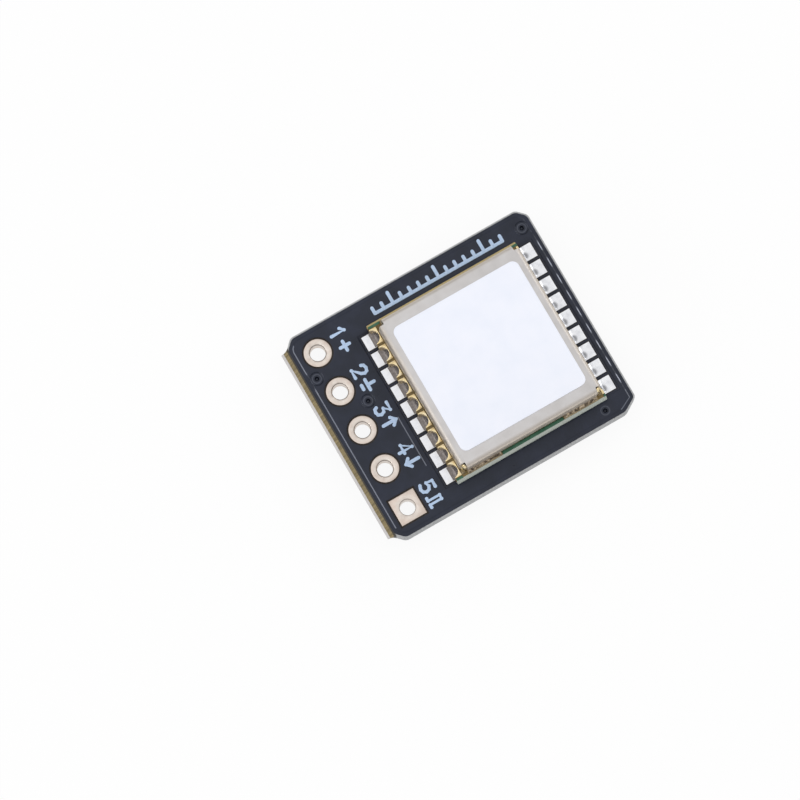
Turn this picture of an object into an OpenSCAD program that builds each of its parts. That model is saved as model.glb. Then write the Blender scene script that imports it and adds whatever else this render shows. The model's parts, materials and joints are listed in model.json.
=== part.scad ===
// Satellite-positioning receiver board: a castellated receiver module under a folded
// shield can, soldered to a small carrier board that has one row of pin holes.
// Millimetres, +Z up. The tallest parts under the board stand on z = 0.

/* [Carrier board] */
// Length of the laminate, across the pin row
board_x = 15.8; // [15.4:0.1:18]
// Width of the laminate, along the pin row
board_y = 13.2; // [13:0.1:16]
// Thickness of the laminate
board_t = 1; // [0.8:0.1:1.6]
// Legs of three of the corner cuts
corner_cut = 0.55; // [0.3:0.05:0.8]
// Long leg of the far front corner cut
long_cut = 0.9; // [0.6:0.05:1.2]
// Reach of the scored bevel on the broken edge
score_reach = 0.2; // [0.1:0.02:0.3]
// Depth of each score line
score_depth = 0.33; // [0.2:0.01:0.38]
// Reach of the broken web beyond the bevel
web_reach = 0.15; // [0.06:0.01:0.25]
// Bare laminate left between the solder mask and the edge
mask_margin = 0.09; // [0.04:0.01:0.15]
// Ground plane pulled back from the edge
plane_margin = 0.38; // [0.3:0.02:0.46]

/* [Pin row] */
// Pin holes in the row, the last with a square pad
pin_count = 5; // [3:1:5]
// Distance between neighbouring pin holes
pin_pitch = 2.54; // [2.2:0.02:2.7]
// Finished diameter of a pin hole
pin_hole_d = 1; // [0.8:0.02:1.1]
// Diameter of a round pad, and side of the square one
pin_pad_d = 1.6; // [1.4:0.02:1.8]
// From the broken edge to the hole line
pin_row_inset = 1.48; // [1.3:0.02:1.6]

/* [Receiver module] */
// Castellated pads on each side
pads_per_side = 9; // [7:1:9]
// Distance between neighbouring pads
pad_pitch = 1.1; // [1:0.02:1.2]
// Width of a gold pad on the module
pad_w = 0.94; // [0.9:0.01:0.96]
// Width of a solder land on the carrier
land_w = 0.88; // [0.7:0.02:0.92]
// Reach of a land outside the pad pattern
land_out = 0.68; // [0.5:0.02:0.8]
// Reach of a land under the module
land_in = 0.75; // [0.5:0.05:1]
// From the last pad's middle to the module's end
pad_run_out = 0.65; // [0.55:0.05:0.9]
// Size of the module across its castellated sides
module_x = 9.7; // [9.3:0.1:10]
// Thickness of the module's laminate
module_t = 0.8; // [0.6:0.1:1]
// Diameter of a finished half-hole
notch_d = 0.84; // [0.74:0.02:0.86]
// Middle of the half-holes outside the pad pattern's edge
drill_out = 0.2; // [0.16:0.01:0.22]
// Outline cut off its pattern, towards the pin row
cut_shift = 0.14; // [0:0.02:0.16]
// Reach of the scored bevels on the module's ends
end_score = 0.14; // [0.06:0.02:0.2]
// From the module's far side to the far edge of the carrier
module_inset = 1.53; // [1.4:0.01:1.7]
// Module's middle along the pin row, from the carrier's middle
module_shift = -0.25; // [-0.5:0.05:0.5]

/* [Shield can] */
// Thickness of the folded sheet
can_sheet = 0.15; // [0.1:0.01:0.2]
// Height of the can
can_h = 1.55; // [1.3:0.05:1.8]
// Outer radius of the folds
can_bend = 0.3; // [0.24:0.02:0.4]
// Slit beside each fold at the corners
can_slit = 0.03; // [0.02:0.01:0.1]
// From the can to the module's side by the pin row
can_near = 0.44; // [0.36:0.02:0.5]
// From the can to the module's far side
can_far = 0.16; // [0.14:0.01:0.3]
// From the can to each end of the module
can_end = 0.2; // [0.16:0.02:0.3]
// Length of each soldered foot on the end walls
foot_run = 2.2; // [1.5:0.1:2.8]
// Height of the gaps under the walls between the feet
foot_gap_h = 0.16; // [0.1:0.02:0.3]
// Label set back from the can's sides
label_side = 0.52; // [0.4:0.02:0.8]
// Label set back from the can's ends
label_end = 0.8; // [0.5:0.05:1.2]
// Corner radius of the label
label_r = 0.4; // [0.2:0.05:0.8]

/* [Antenna socket] */
// Outer diameter of the plug ring
socket_d = 2; // [1.8:0.05:2.2]
// Height of the socket
socket_h = 1.25; // [1.1:0.05:1.4]
// Wall of the plug ring
socket_wall = 0.15; // [0.1:0.01:0.2]
// Side of the square insulator
socket_base = 2.6; // [2.5:0.05:2.8]
// Thickness of the insulator
socket_base_h = 0.4; // [0.3:0.05:0.5]
// Diameter of the middle contact
socket_pin_d = 0.5; // [0.4:0.02:0.6]

/* [Hidden] */
$fn = 48;
eps = 0.01;

// Layers of a printed board
copper_t = 0.04;
mask_t = 0.03;
solder_t = 0.05;
plating = 0.03;
module_film = 0.02;
pad_clear = 0.1;
land_clear = 0.05;
plane_clear = 0.22;
film_clear = 0.04;

// Standard chip sizes: length, width, height, length of an end cap
big_capacitor = [2, 1.25, socket_h, 0.4];
small_capacitor = [1, 0.5, 0.5, 0.22];
choke = [1.6, 0.8, 0.8, 0.32];
big_resistor = [1.6, 0.8, 0.45, 0.3];
small_resistor = [1, 0.5, 0.35, 0.22];
lamp = [1.6, 0.8, 0.35, 0.3];
lamp_lens_size = [0.95, 0.68, 0.3];
chip_bevel = 0.05;
// End caps stand proud of a chip's body, which clears the mask under it
cap_step = mask_t + 0.01;
fillet = 0.24;
fillet_lip = 0.03;
climb_toe = 0.04;

// Heights of the main faces
under_z = max(socket_h, big_capacitor[2]) + copper_t;
top_z = under_z + board_t;
module_z = top_z + copper_t + solder_t + copper_t;
module_top = module_z + module_t;
foot_z = module_top + copper_t;
can_top = foot_z + can_h;

// Places on the carrier, whose own middle stands clear of the broken edge's ledge
ledge = score_reach + web_reach;
board_cx = ledge / 2;
near_edge = -board_x / 2;
far_edge = board_x / 2;
pin_x = near_edge + pin_row_inset;
module_cx = far_edge - module_inset - module_x / 2;
pattern_cx = module_cx + cut_shift;
drill_x = module_x / 2 + drill_out;
module_y = (pads_per_side - 1) * pad_pitch + 2 * pad_run_out;
pad_ys = [for (i = [0 : pads_per_side - 1]) (i - (pads_per_side - 1) / 2) * pad_pitch];
pin_ys = [for (i = [0 : pin_count - 1]) ((pin_count - 1) / 2 - i) * pin_pitch];

// Plated through holes under the mask: one between two pins, one beside the pin row and
// one past each end of the far lands, of which the last joins the ground plane
via_r = 0.15;
via_ring = 0.32;
via_tent = 0.02;
via_gap = 0.12;
via_in = plane_margin + 0.32;
via_beside = 1.1;
via_back = 1.9;
lands_top = module_shift + (module_y + land_w) / 2 - pad_run_out + plane_clear;
vias = [
    [near_edge + via_in, (pin_ys[0] + pin_ys[1]) / 2],
    [pin_x + via_beside, (pin_ys[1] + pin_ys[2]) / 2],
    [far_edge - via_in, lands_top + 0.4 * (board_y / 2 - lands_top)],
    [far_edge - via_back, via_in - board_y / 2]
];
ringed_vias = [vias[0], vias[1], vias[2]];

// Shield can and label, measured from the module's middle
can_x = module_x - can_near - can_far;
can_y = module_y - 2 * can_end;
can_cx = (can_near - can_far) / 2;
relief = can_bend + can_slit;
foot_in = 0.12;
foot_pad = can_sheet + foot_in;
label_t = 0.06;

// Parts under the carrier: name, size, place, lengthwise along Y, colour
ceramic_tan = "#b59a78";
resist_black = "#26282c";
choke_blue = "#5c7390";
chips = [
    ["input_capacitor", big_capacitor, [-3.9, 3.9], true, ceramic_tan],
    ["output_capacitor", big_capacitor, [0.9, -4.4], false, ceramic_tan],
    ["antenna_choke", choke, [4.9, 0.2], true, choke_blue],
    ["antenna_capacitor", small_capacitor, [1.7, 3.9], false, ceramic_tan],
    ["lamp_resistor", big_resistor, [-3.9, -2.6], false, resist_black],
    ["transmit_resistor", small_resistor, [-3.9, 0.9], false, resist_black],
    ["receive_resistor", small_resistor, [-3.9, -0.6], false, resist_black]
];
lamp_place = [-3.9, -4.9];
socket_place = [4.9, 3.6];

// Regulator in a five-lead case
regulator_place = [-0.6, 1.4];
regulator_size = [2.9, 1.6, 1.0];
regulator_lift = 0.1;
regulator_draft = 0.08;
lead_w = 0.4;
lead_t = 0.13;
lead_foot = 0.4;
lead_reach = 0.6;
lead_pitch = 0.95;
lead_z = 0.55;
leads = [[-1, -1], [0, -1], [1, -1], [-1, 1], [1, 1]];

// Antenna socket
strap_t = 0.1;
strap_w = 1.4;
socket_foot = 0.45;
tail_w = 0.5;
tail_reach = 0.4;
ring_groove = 0.06;
ring_groove_h = 0.15;
ring_chamfer = 0.06;
socket_pin_h = 0.3;

// Parts inside the can: size, place from the pad pattern's middle
receiver_size = [5, 5, 0.7];
receiver_place = [0.9, -0.9];
contacts_per_side = 10;
contact_pitch = 0.42;
contact = [0.22, 0.4, 0.05];
heat_pad = 3.4;
oscillator_size = [2.5, 2, 0.5];
oscillator_place = [-2.4, 2.9];
crystal_size = [1.5, 3.2, 0.45];
crystal_place = [-2.8, -1.6];
lid_step = 0.12;
lid_h = 0.2;
filter_size = [1.4, 1.1, 0.5];
filter_place = [1, 3.2];
amplifier_size = [1.5, 1, 0.5];
amplifier_place = [3, 3.2];
decoupling = [[-2.8, 0.9], [-2.8, -3.9], [-0.6, -4], [0.9, -4], [2.4, -4], [-0.2, 2.1]];
inner_z = module_top + module_film;

// Frames that the parts are drawn in

module on_carrier(z) {
    translate([board_cx, 0, z]) children();
}

// The module's middle, at height z
module on_module(z) {
    on_carrier(z) translate([module_cx, module_shift, 0]) children();
}

// The middle of the pad pattern, at height z
module on_pattern(z) {
    on_carrier(z) translate([pattern_cx, module_shift, 0]) children();
}

// A mounting face under the carrier, with its own Z pointing down
module under(place, along_y = false) {
    on_carrier(under_z - copper_t) translate(place) rotate([180, 0, along_y ? 90 : 0]) children();
}

// Shapes that repeat

module rounded_rect(size, r) {
    square([size[0] - 2 * r, size[1]], center = true);
    square([size[0], size[1] - 2 * r], center = true);
    for (sx = [-1, 1], sy = [-1, 1])
        translate([sx * (size[0] / 2 - r), sy * (size[1] / 2 - r)]) circle(r);
}

// A leg of a corner cut after the outline has grown on all sides
function leg(cut, grow) = cut + (2 - sqrt(2)) * grow;

// The carrier's outline without its ledge, grown on all sides
module carrier_outline(grow = 0) {
    x = board_x / 2 + grow;
    y = board_y / 2 + grow;
    c = leg(corner_cut, grow);
    polygon([
        [-x, -y + c], [-x + c, -y],
        [x - leg(long_cut, grow), -y], [x, -y + c],
        [x, y - c], [x - c, y],
        [-x + c, y], [-x, y - c]
    ]);
}

// Pads of the pin row, grown on all sides
module pin_pads(grow = 0) {
    for (i = [0 : pin_count - 1])
        translate([pin_x, pin_ys[i]])
            if (i == pin_count - 1) square(pin_pad_d + 2 * grow, center = true);
            else circle(d = pin_pad_d + 2 * grow);
}

// Lands of one side, -1 by the pin row and 1 by the far edge, from the pattern's middle
module lands_outline(side, grow = 0) {
    mid = module_x / 2 + (land_out - land_in) / 2;
    for (y = pad_ys)
        translate([side * mid, y])
            square([land_out + land_in + 2 * grow, land_w + 2 * grow], center = true);
}

// The strip that holds one side's lands, grown on all sides
module lands_strip(side, grow) {
    mid = module_x / 2 + (land_out - land_in) / 2;
    run = (pads_per_side - 1) * pad_pitch + land_w;
    translate([side * mid, 0])
        square([land_out + land_in + 2 * grow, run + 2 * grow], center = true);
}

module via_rounds(r, places = ringed_vias) {
    for (v = places) translate(v) circle(r);
}

// Copper of the vias in the plane of one face, grown on all sides
module via_copper(grow = 0) {
    via_rounds(via_ring + grow);
    via_rounds(via_r + plating + grow, vias);
}

// Copper left for the ground plane on one face, grown on all sides
module plane_outline(top, grow = 0) {
    difference() {
        carrier_outline(-plane_margin + grow);
        pin_pads(plane_clear - grow);
        via_rounds(via_ring + via_gap - grow);
        if (grow == 0) via_rounds(via_r + plating, vias);
        if (top)
            translate([pattern_cx, module_shift])
                for (side = [-1, 1]) lands_strip(side, plane_clear - grow);
        else under_pads(plane_clear - grow);
    }
}

// Openings in the mask over pads, lands and, on the top face, vias
module mask_openings(top) {
    pin_pads(pad_clear);
    if (top) {
        via_rounds(via_r - via_tent, vias);
        translate([pattern_cx, module_shift])
            for (side = [-1, 1]) lands_outline(side, land_clear);
    } else under_pads(land_clear);
}

// Mask film that follows the copper under it, built upwards from the laminate
module mask_film(top) {
    difference() {
        union() {
            linear_extrude(mask_t) carrier_outline(-mask_margin);
            linear_extrude(copper_t + mask_t) plane_outline(top, mask_t);
            linear_extrude(copper_t + mask_t) via_copper(mask_t);
        }
        translate([0, 0, -eps]) linear_extrude(copper_t + eps) plane_outline(top);
        translate([0, 0, -eps]) linear_extrude(copper_t + eps) via_copper();
        translate([0, 0, -eps]) linear_extrude(1) mask_openings(top);
    }
}

// Bar along X with bevelled long edges, standing on z = 0
module bevelled_bar(l, w, h, b = chip_bevel) {
    rotate([90, 0, 90]) linear_extrude(l, center = true)
        polygon([
            [-w / 2, b], [-w / 2 + b, 0], [w / 2 - b, 0], [w / 2, b],
            [w / 2, h - b], [w / 2 - b, h], [-w / 2 + b, h], [-w / 2, h - b]
        ]);
}

module chip_core(s) {
    translate([0, 0, cap_step]) bevelled_bar(s[0] - 2 * s[3], s[1] - 2 * cap_step, s[2] - 2 * cap_step);
}

module chip_caps(s) {
    for (side = [-1, 1])
        translate([side * (s[0] - s[3]) / 2, 0, 0]) bevelled_bar(s[3], s[1], s[2]);
}

// Concave solder fillet along Y, in the corner of x = 0 and z = 0
module solder_fillet(run, size = fillet) {
    rotate([90, 0, 0]) linear_extrude(run, center = true)
        difference() {
            square(size);
            translate([size, size]) circle(size - fillet_lip);
        }
}

// Pads of one two-ended chip in the plane of the mask, grown on all sides
module chip_pads(s, grow) {
    run = s[3] + fillet;
    for (side = [-1, 1])
        translate([side * (s[0] / 2 - s[3] + run / 2), 0])
            square([run + 2 * grow, s[1] + 2 * grow], center = true);
}

// All pads under the carrier as they lie in the board's own X and Y
module under_pads(grow = 0) {
    for (c = chips) translate(c[2]) rotate(c[3] ? 90 : 0) chip_pads(c[1], grow);
    translate(lamp_place) chip_pads(lamp, grow);
    translate(socket_place) socket_pads(grow);
    translate(regulator_place) for (p = leads)
        translate([p[0] * lead_pitch, p[1] * (regulator_size[1] / 2 + lead_reach - lead_foot / 2)])
            square([lead_w + 2 * grow, lead_foot + 2 * grow], center = true);
}

module socket_pads(grow) {
    for (side = [-1, 1])
        translate([side * (socket_base / 2 + strap_t + socket_foot / 2), 0])
            square([socket_foot + 2 * grow, strap_w + 2 * grow], center = true);
    translate([0, socket_base / 2 + tail_reach / 2])
        square([tail_w + 2 * grow, tail_reach + 2 * grow], center = true);
}

// Carrier board

module printed_board() {
    color("#a89a6a") on_carrier(under_z) difference() {
        union() {
            linear_extrude(board_t) carrier_outline();
            translate([near_edge, 0, 0]) broken_edge();
        }
        for (y = pin_ys) translate([pin_x, y, -eps])
            cylinder(d = pin_hole_d + 2 * plating, h = board_t + 2 * eps);
        for (v = vias) translate([v[0], v[1], -eps])
            cylinder(r = via_r + plating, h = board_t + 2 * eps);
    }
}

// Ledge left where the board was snapped off along its score lines
module broken_edge() {
    web = (board_t - 2 * score_depth) / 4;
    rotate([90, 0, 0]) linear_extrude(board_y - 2 * corner_cut, center = true)
        polygon([
            [0, 0], [-score_reach, score_depth], [-ledge, score_depth + web],
            [-ledge, board_t - score_depth - web], [-score_reach, board_t - score_depth], [0, board_t]
        ]);
}

module top_ground_plane() {
    color("#b87345") on_carrier(top_z) linear_extrude(copper_t) plane_outline(true);
}

module bottom_ground_plane() {
    color("#b87345") on_carrier(under_z - copper_t) linear_extrude(copper_t) plane_outline(false);
}

module top_solder_mask() {
    color("#2a2e3a") on_carrier(top_z) mask_film(true);
}

module bottom_solder_mask() {
    color("#2a2e3a") on_carrier(under_z) mirror([0, 0, 1]) mask_film(false);
}

// Plated eyelet of one pin hole, with a pad on each face
module pin_eyelet(i) {
    whole = board_t + 2 * copper_t;
    color("#e8d9cc") on_carrier(under_z - copper_t) translate([pin_x, pin_ys[i - 1], 0]) difference() {
        union() {
            cylinder(d = pin_hole_d + 2 * plating, h = whole);
            for (z = [0, whole - copper_t]) translate([0, 0, z])
                if (i == pin_count) translate([-pin_pad_d / 2, -pin_pad_d / 2, 0])
                    cube([pin_pad_d, pin_pad_d, copper_t]);
                else cylinder(d = pin_pad_d, h = copper_t);
        }
        translate([0, 0, -eps]) cylinder(d = pin_hole_d, h = whole + 2 * eps);
    }
}

module via_barrels() {
    whole = board_t + 2 * copper_t;
    color("#b87345") on_carrier(under_z - copper_t) difference() {
        union() {
            linear_extrude(whole) via_rounds(via_r + plating, vias);
            for (z = [0, whole - copper_t]) translate([0, 0, z]) linear_extrude(copper_t) via_copper();
        }
        translate([0, 0, -eps]) linear_extrude(whole + 2 * eps) via_rounds(via_r, vias);
    }
}

module lands(side) {
    color("#dcdcd8") on_pattern(top_z) linear_extrude(copper_t) lands_outline(side);
}

// Receiver module

// Half-holes along both castellated sides, from the pattern's middle
module notches(r, h) {
    for (side = [-1, 1], y = pad_ys)
        translate([side * drill_x, y, -eps]) cylinder(r = r, h = h + 2 * eps);
}

module module_board() {
    color("#8a7b4e") difference() {
        on_module(module_z) module_slab();
        on_pattern(module_z) notches(notch_d / 2 + plating, module_t);
    }
}

// Slab with a bevelled score line left along each end
module module_slab() {
    third = module_t / 3;
    y = module_y / 2;
    rotate([90, 0, 90]) linear_extrude(module_x, center = true)
        polygon([
            [-y, 0], [-y - end_score, third], [-y - end_score, 2 * third], [-y, module_t],
            [y, module_t], [y + end_score, 2 * third], [y + end_score, third], [y, 0]
        ]);
}

// Film inside the ring of feet, a strip along each end between them, and a patch at each corner
module module_solder_mask() {
    inner = [can_x - 2 * foot_pad, can_y - 2 * foot_pad];
    gap = can_x - 2 * relief - 2 * foot_run - 2 * film_clear;
    color("#2f6b3f") on_module(module_top) linear_extrude(module_film) {
        translate([can_cx, 0]) square(inner, center = true);
        for (side = [-1, 1]) translate([can_cx, side * (module_y - can_end) / 2])
            square([gap, can_end], center = true);
        corner_patches(-1, can_near);
        corner_patches(1, can_far);
    }
}

// Film on the two corners of one side, from the last pad to the end, and under the can's back corner
module corner_patches(side, margin) {
    end = (module_y - 2 * pad_run_out + pad_w) / 2 + film_clear;
    for (sy = [-1, 1]) {
        reach = margin - film_clear + (sy > 0 ? relief : 0);
        translate([side * (module_x - reach) / 2, sy * (end + module_y / 2) / 2])
            square([reach, module_y / 2 - end], center = true);
    }
}

// Gold pads of one side: a pad on each face, joined by a plated half-hole
module castellations(side) {
    edge = module_x / 2 - side * cut_shift;
    reach = (side < 0 ? can_near : can_far) - plating;
    whole = module_t + 2 * copper_t;
    mid = edge - reach / 2;
    color("#d8b56a") on_pattern(module_z - copper_t) for (y = pad_ys) difference() {
        union() {
            for (z = [0, whole - copper_t]) translate([side * mid, y, z + copper_t / 2])
                cube([reach, pad_w, copper_t], center = true);
            intersection() {
                translate([side * drill_x, y, 0]) cylinder(r = notch_d / 2 + plating, h = whole);
                translate([side * mid, y, whole / 2]) cube([reach, pad_w, whole], center = true);
            }
        }
        translate([side * drill_x, y, -eps]) cylinder(d = notch_d, h = whole + 2 * eps);
    }
}

// Solder of one side: a layer under each pad and a concave climb into its half-hole
module solder_joints(side) {
    color("#8f8d88") on_pattern(top_z + copper_t) for (y = pad_ys) translate([0, y, 0]) {
        solder_layer(side);
        solder_climb(side);
    }
}

module solder_layer(side) {
    edge = module_x / 2 - side * cut_shift;
    reach = (side < 0 ? can_near : can_far) - plating;
    difference() {
        translate([side * (edge - reach / 2), 0, solder_t / 2])
            cube([reach, min(pad_w, land_w), solder_t], center = true);
        translate([side * drill_x, 0, -eps]) cylinder(d = notch_d, h = solder_t + 2 * eps);
    }
}

// The climb starts on the land, just past the drill's middle, and ends on the half-hole's wall
module solder_climb(side) {
    start = drill_x + climb_toe;
    span = climb_toe + notch_d / 2;
    intersection() {
        translate([side * start, 0, 0]) mirror([side > 0 ? 1 : 0, 0, 0])
            rotate([90, 0, 0]) linear_extrude(notch_d + 2 * eps, center = true) difference() {
                square([span, solder_t + 2 * copper_t + module_t]);
                translate([0, span]) circle(span - fillet_lip);
                translate([0, span]) square([span - fillet_lip, module_t + span]);
            }
        translate([side * drill_x, 0, 0]) cylinder(d = notch_d, h = module_t + 1);
    }
}

// Gold feet for the can: two on each end wall, two on each side wall and one in each front corner
module can_ground_pads() {
    mid_x = can_x / 2 - relief - foot_run / 2;
    mid_y = can_y / 2 - relief - foot_run / 2;
    corner = foot_pad - film_clear;
    color("#d8b56a") on_module(module_top) translate([can_cx, 0, 0]) linear_extrude(copper_t) {
        for (sx = [-1, 1])
            translate([sx * (can_x - corner) / 2, (corner - can_y) / 2]) square(corner, center = true);
        for (sx = [-1, 1], sy = [-1, 1]) {
            translate([sx * mid_x, sy * (can_y / 2 - foot_pad / 2 + can_end / 2)])
                square([foot_run, foot_pad + can_end], center = true);
            translate([sx * (can_x / 2 - can_sheet / 2), sy * mid_y])
                square([can_sheet, foot_run], center = true);
        }
    }
}

// Solder along the outside of the end walls' feet
module can_solder() {
    size = can_end - fillet_lip;
    color("#a79f8c") on_module(foot_z) translate([can_cx, 0, 0])
        for (sx = [-1, 1], sy = [-1, 1])
            translate([sx * (can_x / 2 - relief - foot_run / 2), sy * can_y / 2, 0])
                rotate(sy * 90) solder_fillet(foot_run, size);
}

// Section of a sheet folded down at both sides, open below
module channel_section(span) {
    difference() {
        arch(span, can_h, can_bend);
        translate([0, -eps]) arch(span - 2 * can_sheet, can_h - can_sheet + eps, can_bend - can_sheet);
    }
}

module arch(span, h, r) {
    translate([-span / 2, 0]) square([span, h - r]);
    translate([-span / 2 + r, 0]) square([span - 2 * r, h]);
    for (side = [-1, 1]) translate([side * (span / 2 - r), h - r]) circle(r);
}

// One blank with four walls folded down and a relief slit at each corner
module shield_can() {
    color("#cbc9c6") on_module(foot_z) translate([can_cx, 0, 0]) difference() {
        union() {
            rotate([90, 0, 0]) linear_extrude(can_y - 2 * relief, center = true) channel_section(can_x);
            rotate([90, 0, 90]) linear_extrude(can_x - 2 * relief, center = true) channel_section(can_y);
        }
        foot_gap(can_x - 2 * relief - 2 * foot_run, can_y + 1);
        foot_gap(can_x + 1, can_y - 2 * relief - 2 * foot_run);
    }
}

module foot_gap(x, y) {
    translate([-x / 2, -y / 2, -eps]) cube([x, y, foot_gap_h + eps]);
}

module label() {
    color("#eef1fb") on_module(can_top) translate([can_cx, 0, 0]) linear_extrude(label_t)
        rounded_rect([can_x - 2 * label_side, can_y - 2 * label_end], label_r);
}

// Parts inside the can

module block(size) {
    translate([-size[0] / 2, -size[1] / 2, 0]) cube(size);
}

module receiver_chip() {
    dimple = 0.25;
    inset = 3 * dimple;
    floor_z = receiver_size[2] - dimple / 5;
    color("#2b2b2e") on_pattern(inner_z + contact[2]) translate(receiver_place) difference() {
        block(receiver_size);
        translate([inset - receiver_size[0] / 2, receiver_size[1] / 2 - inset, floor_z])
            cylinder(r = dimple, h = 1);
    }
}

module receiver_contacts() {
    color("#c9c2b0") on_pattern(inner_z) translate(receiver_place) {
        block([heat_pad, heat_pad, contact[2]]);
        for (turn = [0 : 90 : 270], i = [0 : contacts_per_side - 1]) rotate(turn)
            translate([
                (i - (contacts_per_side - 1) / 2) * contact_pitch,
                (receiver_size[1] - contact[1]) / 2, 0
            ]) block(contact);
    }
}

module oscillator_base() {
    color("#6d5f55") on_pattern(inner_z) translate(oscillator_place) block(oscillator_size);
}

module clock_crystal_base() {
    color("#6d5f55") on_pattern(inner_z) translate(crystal_place) block(crystal_size);
}

// Metal lid with rounded corners, set in from the edge of its ceramic base
module metal_lid(place, size) {
    color("#d4cfc2") on_pattern(inner_z + size[2]) translate(place) linear_extrude(lid_h)
        rounded_rect([size[0] - 2 * lid_step, size[1] - 2 * lid_step], lid_step);
}

module band_filter() {
    color("#c8bfae") on_pattern(inner_z) translate(filter_place) block(filter_size);
}

module amplifier_chip() {
    color("#2b2b2e") on_pattern(inner_z) translate(amplifier_place) block(amplifier_size);
}

module decoupling_capacitors() {
    color(ceramic_tan) on_pattern(inner_z) for (d = decoupling) translate(d) chip_core(small_capacitor);
}

module decoupling_ends() {
    color("#d0ccc4") on_pattern(inner_z) for (d = decoupling) translate(d) chip_caps(small_capacitor);
}

// Parts under the carrier

module underside_pads() {
    color("#e8d9cc") on_carrier(under_z - copper_t) linear_extrude(copper_t) under_pads();
}

module underside_solder() {
    color("#b9b6b0") {
        for (c = chips) under(c[2], c[3]) chip_fillets(c[1]);
        under(lamp_place) chip_fillets(lamp);
    }
}

module chip_fillets(s) {
    for (side = [0, 180]) rotate(side) translate([s[0] / 2, 0, 0]) solder_fillet(s[1]);
}

module chip_body(c) {
    color(c[4]) under(c[2], c[3]) chip_core(c[1]);
}

module chip_ends(c) {
    color("#d0ccc4") under(c[2], c[3]) chip_caps(c[1]);
}

module lamp_base() {
    color("#e9e4d6") under(lamp_place) chip_core(lamp);
}

module lamp_ends() {
    color("#d8b56a") under(lamp_place) chip_caps(lamp);
}

// Moulded lens with drafted ends
module lamp_lens() {
    s = lamp_lens_size;
    draft = s[2] / 4;
    color("#f3e3b5") under(lamp_place) translate([0, 0, lamp[2] - cap_step])
        rotate([90, 0, 0]) linear_extrude(s[1], center = true)
            polygon([[-s[0] / 2, 0], [s[0] / 2, 0], [s[0] / 2 - draft, s[2]], [-s[0] / 2 + draft, s[2]]]);
}

// Moulded body with drafted long sides above and below its parting line
module regulator_body() {
    y = regulator_size[1] / 2;
    d = regulator_draft;
    h = regulator_size[2];
    split = lead_z - regulator_lift;
    color("#26272a") under(regulator_place) translate([0, 0, regulator_lift])
        rotate([90, 0, 90]) linear_extrude(regulator_size[0], center = true)
            polygon([[-y + d, 0], [y - d, 0], [y, split], [y - d, h], [-y + d, h], [-y, split]]);
}

// Gull-wing leads, each bent down from the parting line to its pad
module regulator_leads() {
    bend = lead_reach - lead_foot;
    t = lead_t;
    color("#c4c2bd") under(regulator_place) for (p = leads)
        translate([p[0] * lead_pitch, -p[1] * regulator_size[1] / 2, 0])
            mirror([0, p[1] > 0 ? 1 : 0, 0]) rotate([90, 0, 90]) linear_extrude(lead_w, center = true)
                polygon([
                    [0, lead_z], [bend, lead_z], [bend + t, lead_z - t], [bend + t, t],
                    [lead_reach, t], [lead_reach, 0], [bend, 0], [bend, lead_z - t], [0, lead_z - t]
                ]);
}

module socket_insulator() {
    color("#efeee8") under(socket_place) difference() {
        translate([0, 0, cap_step]) block([socket_base, socket_base, socket_base_h - cap_step]);
        translate([0, 0, -eps]) cylinder(d = socket_pin_d, h = socket_base_h + 2 * eps);
        translate([-tail_w / 2, -socket_base, -eps]) cube([tail_w, socket_base, cap_step + strap_t + eps]);
    }
}

// Plug ring on two straps that fold over the insulator to their feet
module socket_shell() {
    color("#d9bd7c") under(socket_place) difference() {
        union() {
            ring_body();
            for (side = [-1, 1]) translate([side * (socket_base / 2 + strap_t / 2), 0, 0]) {
                block([strap_t, strap_w, socket_base_h + strap_t]);
                translate([side * (socket_foot + strap_t) / 2, 0, 0]) block([socket_foot, strap_w, strap_t]);
            }
            translate([0, 0, socket_base_h]) block([socket_base, strap_w, strap_t]);
        }
        translate([0, 0, -eps]) cylinder(d = socket_d - 2 * socket_wall, h = socket_h + 1);
    }
}

// Ring that narrows to a locking groove above its root, with a chamfered mouth
module ring_body() {
    r = socket_d / 2;
    root = socket_base_h;
    groove = root + strap_t + ring_groove_h;
    rotate_extrude() polygon([
        [0, root], [r - ring_groove / 3, root], [r - ring_groove, groove], [r, groove + ring_groove],
        [r, socket_h - ring_chamfer], [r - ring_chamfer, socket_h], [0, socket_h]
    ]);
}

// Middle contact, whose tail runs out under the insulator and steps down to its pad
module socket_contact() {
    tip = socket_h - socket_pin_h;
    color("#d9bd7c") under(socket_place) {
        translate([0, 0, cap_step]) cylinder(d = socket_pin_d, h = tip - cap_step);
        translate([-tail_w / 2, -socket_base / 2 - tail_reach, cap_step])
            cube([tail_w, socket_base / 2 + tail_reach, strap_t]);
        translate([-tail_w / 2, -socket_base / 2 - tail_reach, 0])
            cube([tail_w, tail_reach, cap_step + strap_t]);
    }
}

printed_board();
top_ground_plane();
bottom_ground_plane();
top_solder_mask();
bottom_solder_mask();
for (i = [1 : pin_count])
    pin_eyelet(i);
via_barrels();
lands(-1);  // near_lands
lands(1);  // far_lands
solder_joints(-1);  // near_solder_joints
solder_joints(1);  // far_solder_joints
module_board();
module_solder_mask();
castellations(-1);  // near_castellations
castellations(1);  // far_castellations
can_ground_pads();
can_solder();
shield_can();
label();
receiver_chip();
receiver_contacts();
oscillator_base();
metal_lid(oscillator_place, oscillator_size);  // oscillator_lid
clock_crystal_base();
metal_lid(crystal_place, crystal_size);  // clock_crystal_lid
band_filter();
amplifier_chip();
decoupling_capacitors();
decoupling_ends();
underside_pads();
underside_solder();
socket_insulator();
socket_shell();
socket_contact();
regulator_body();
regulator_leads();
lamp_base();
lamp_lens();
lamp_ends();
for (c = chips) {
    chip_body(c);
    chip_ends(c);
}
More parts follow.
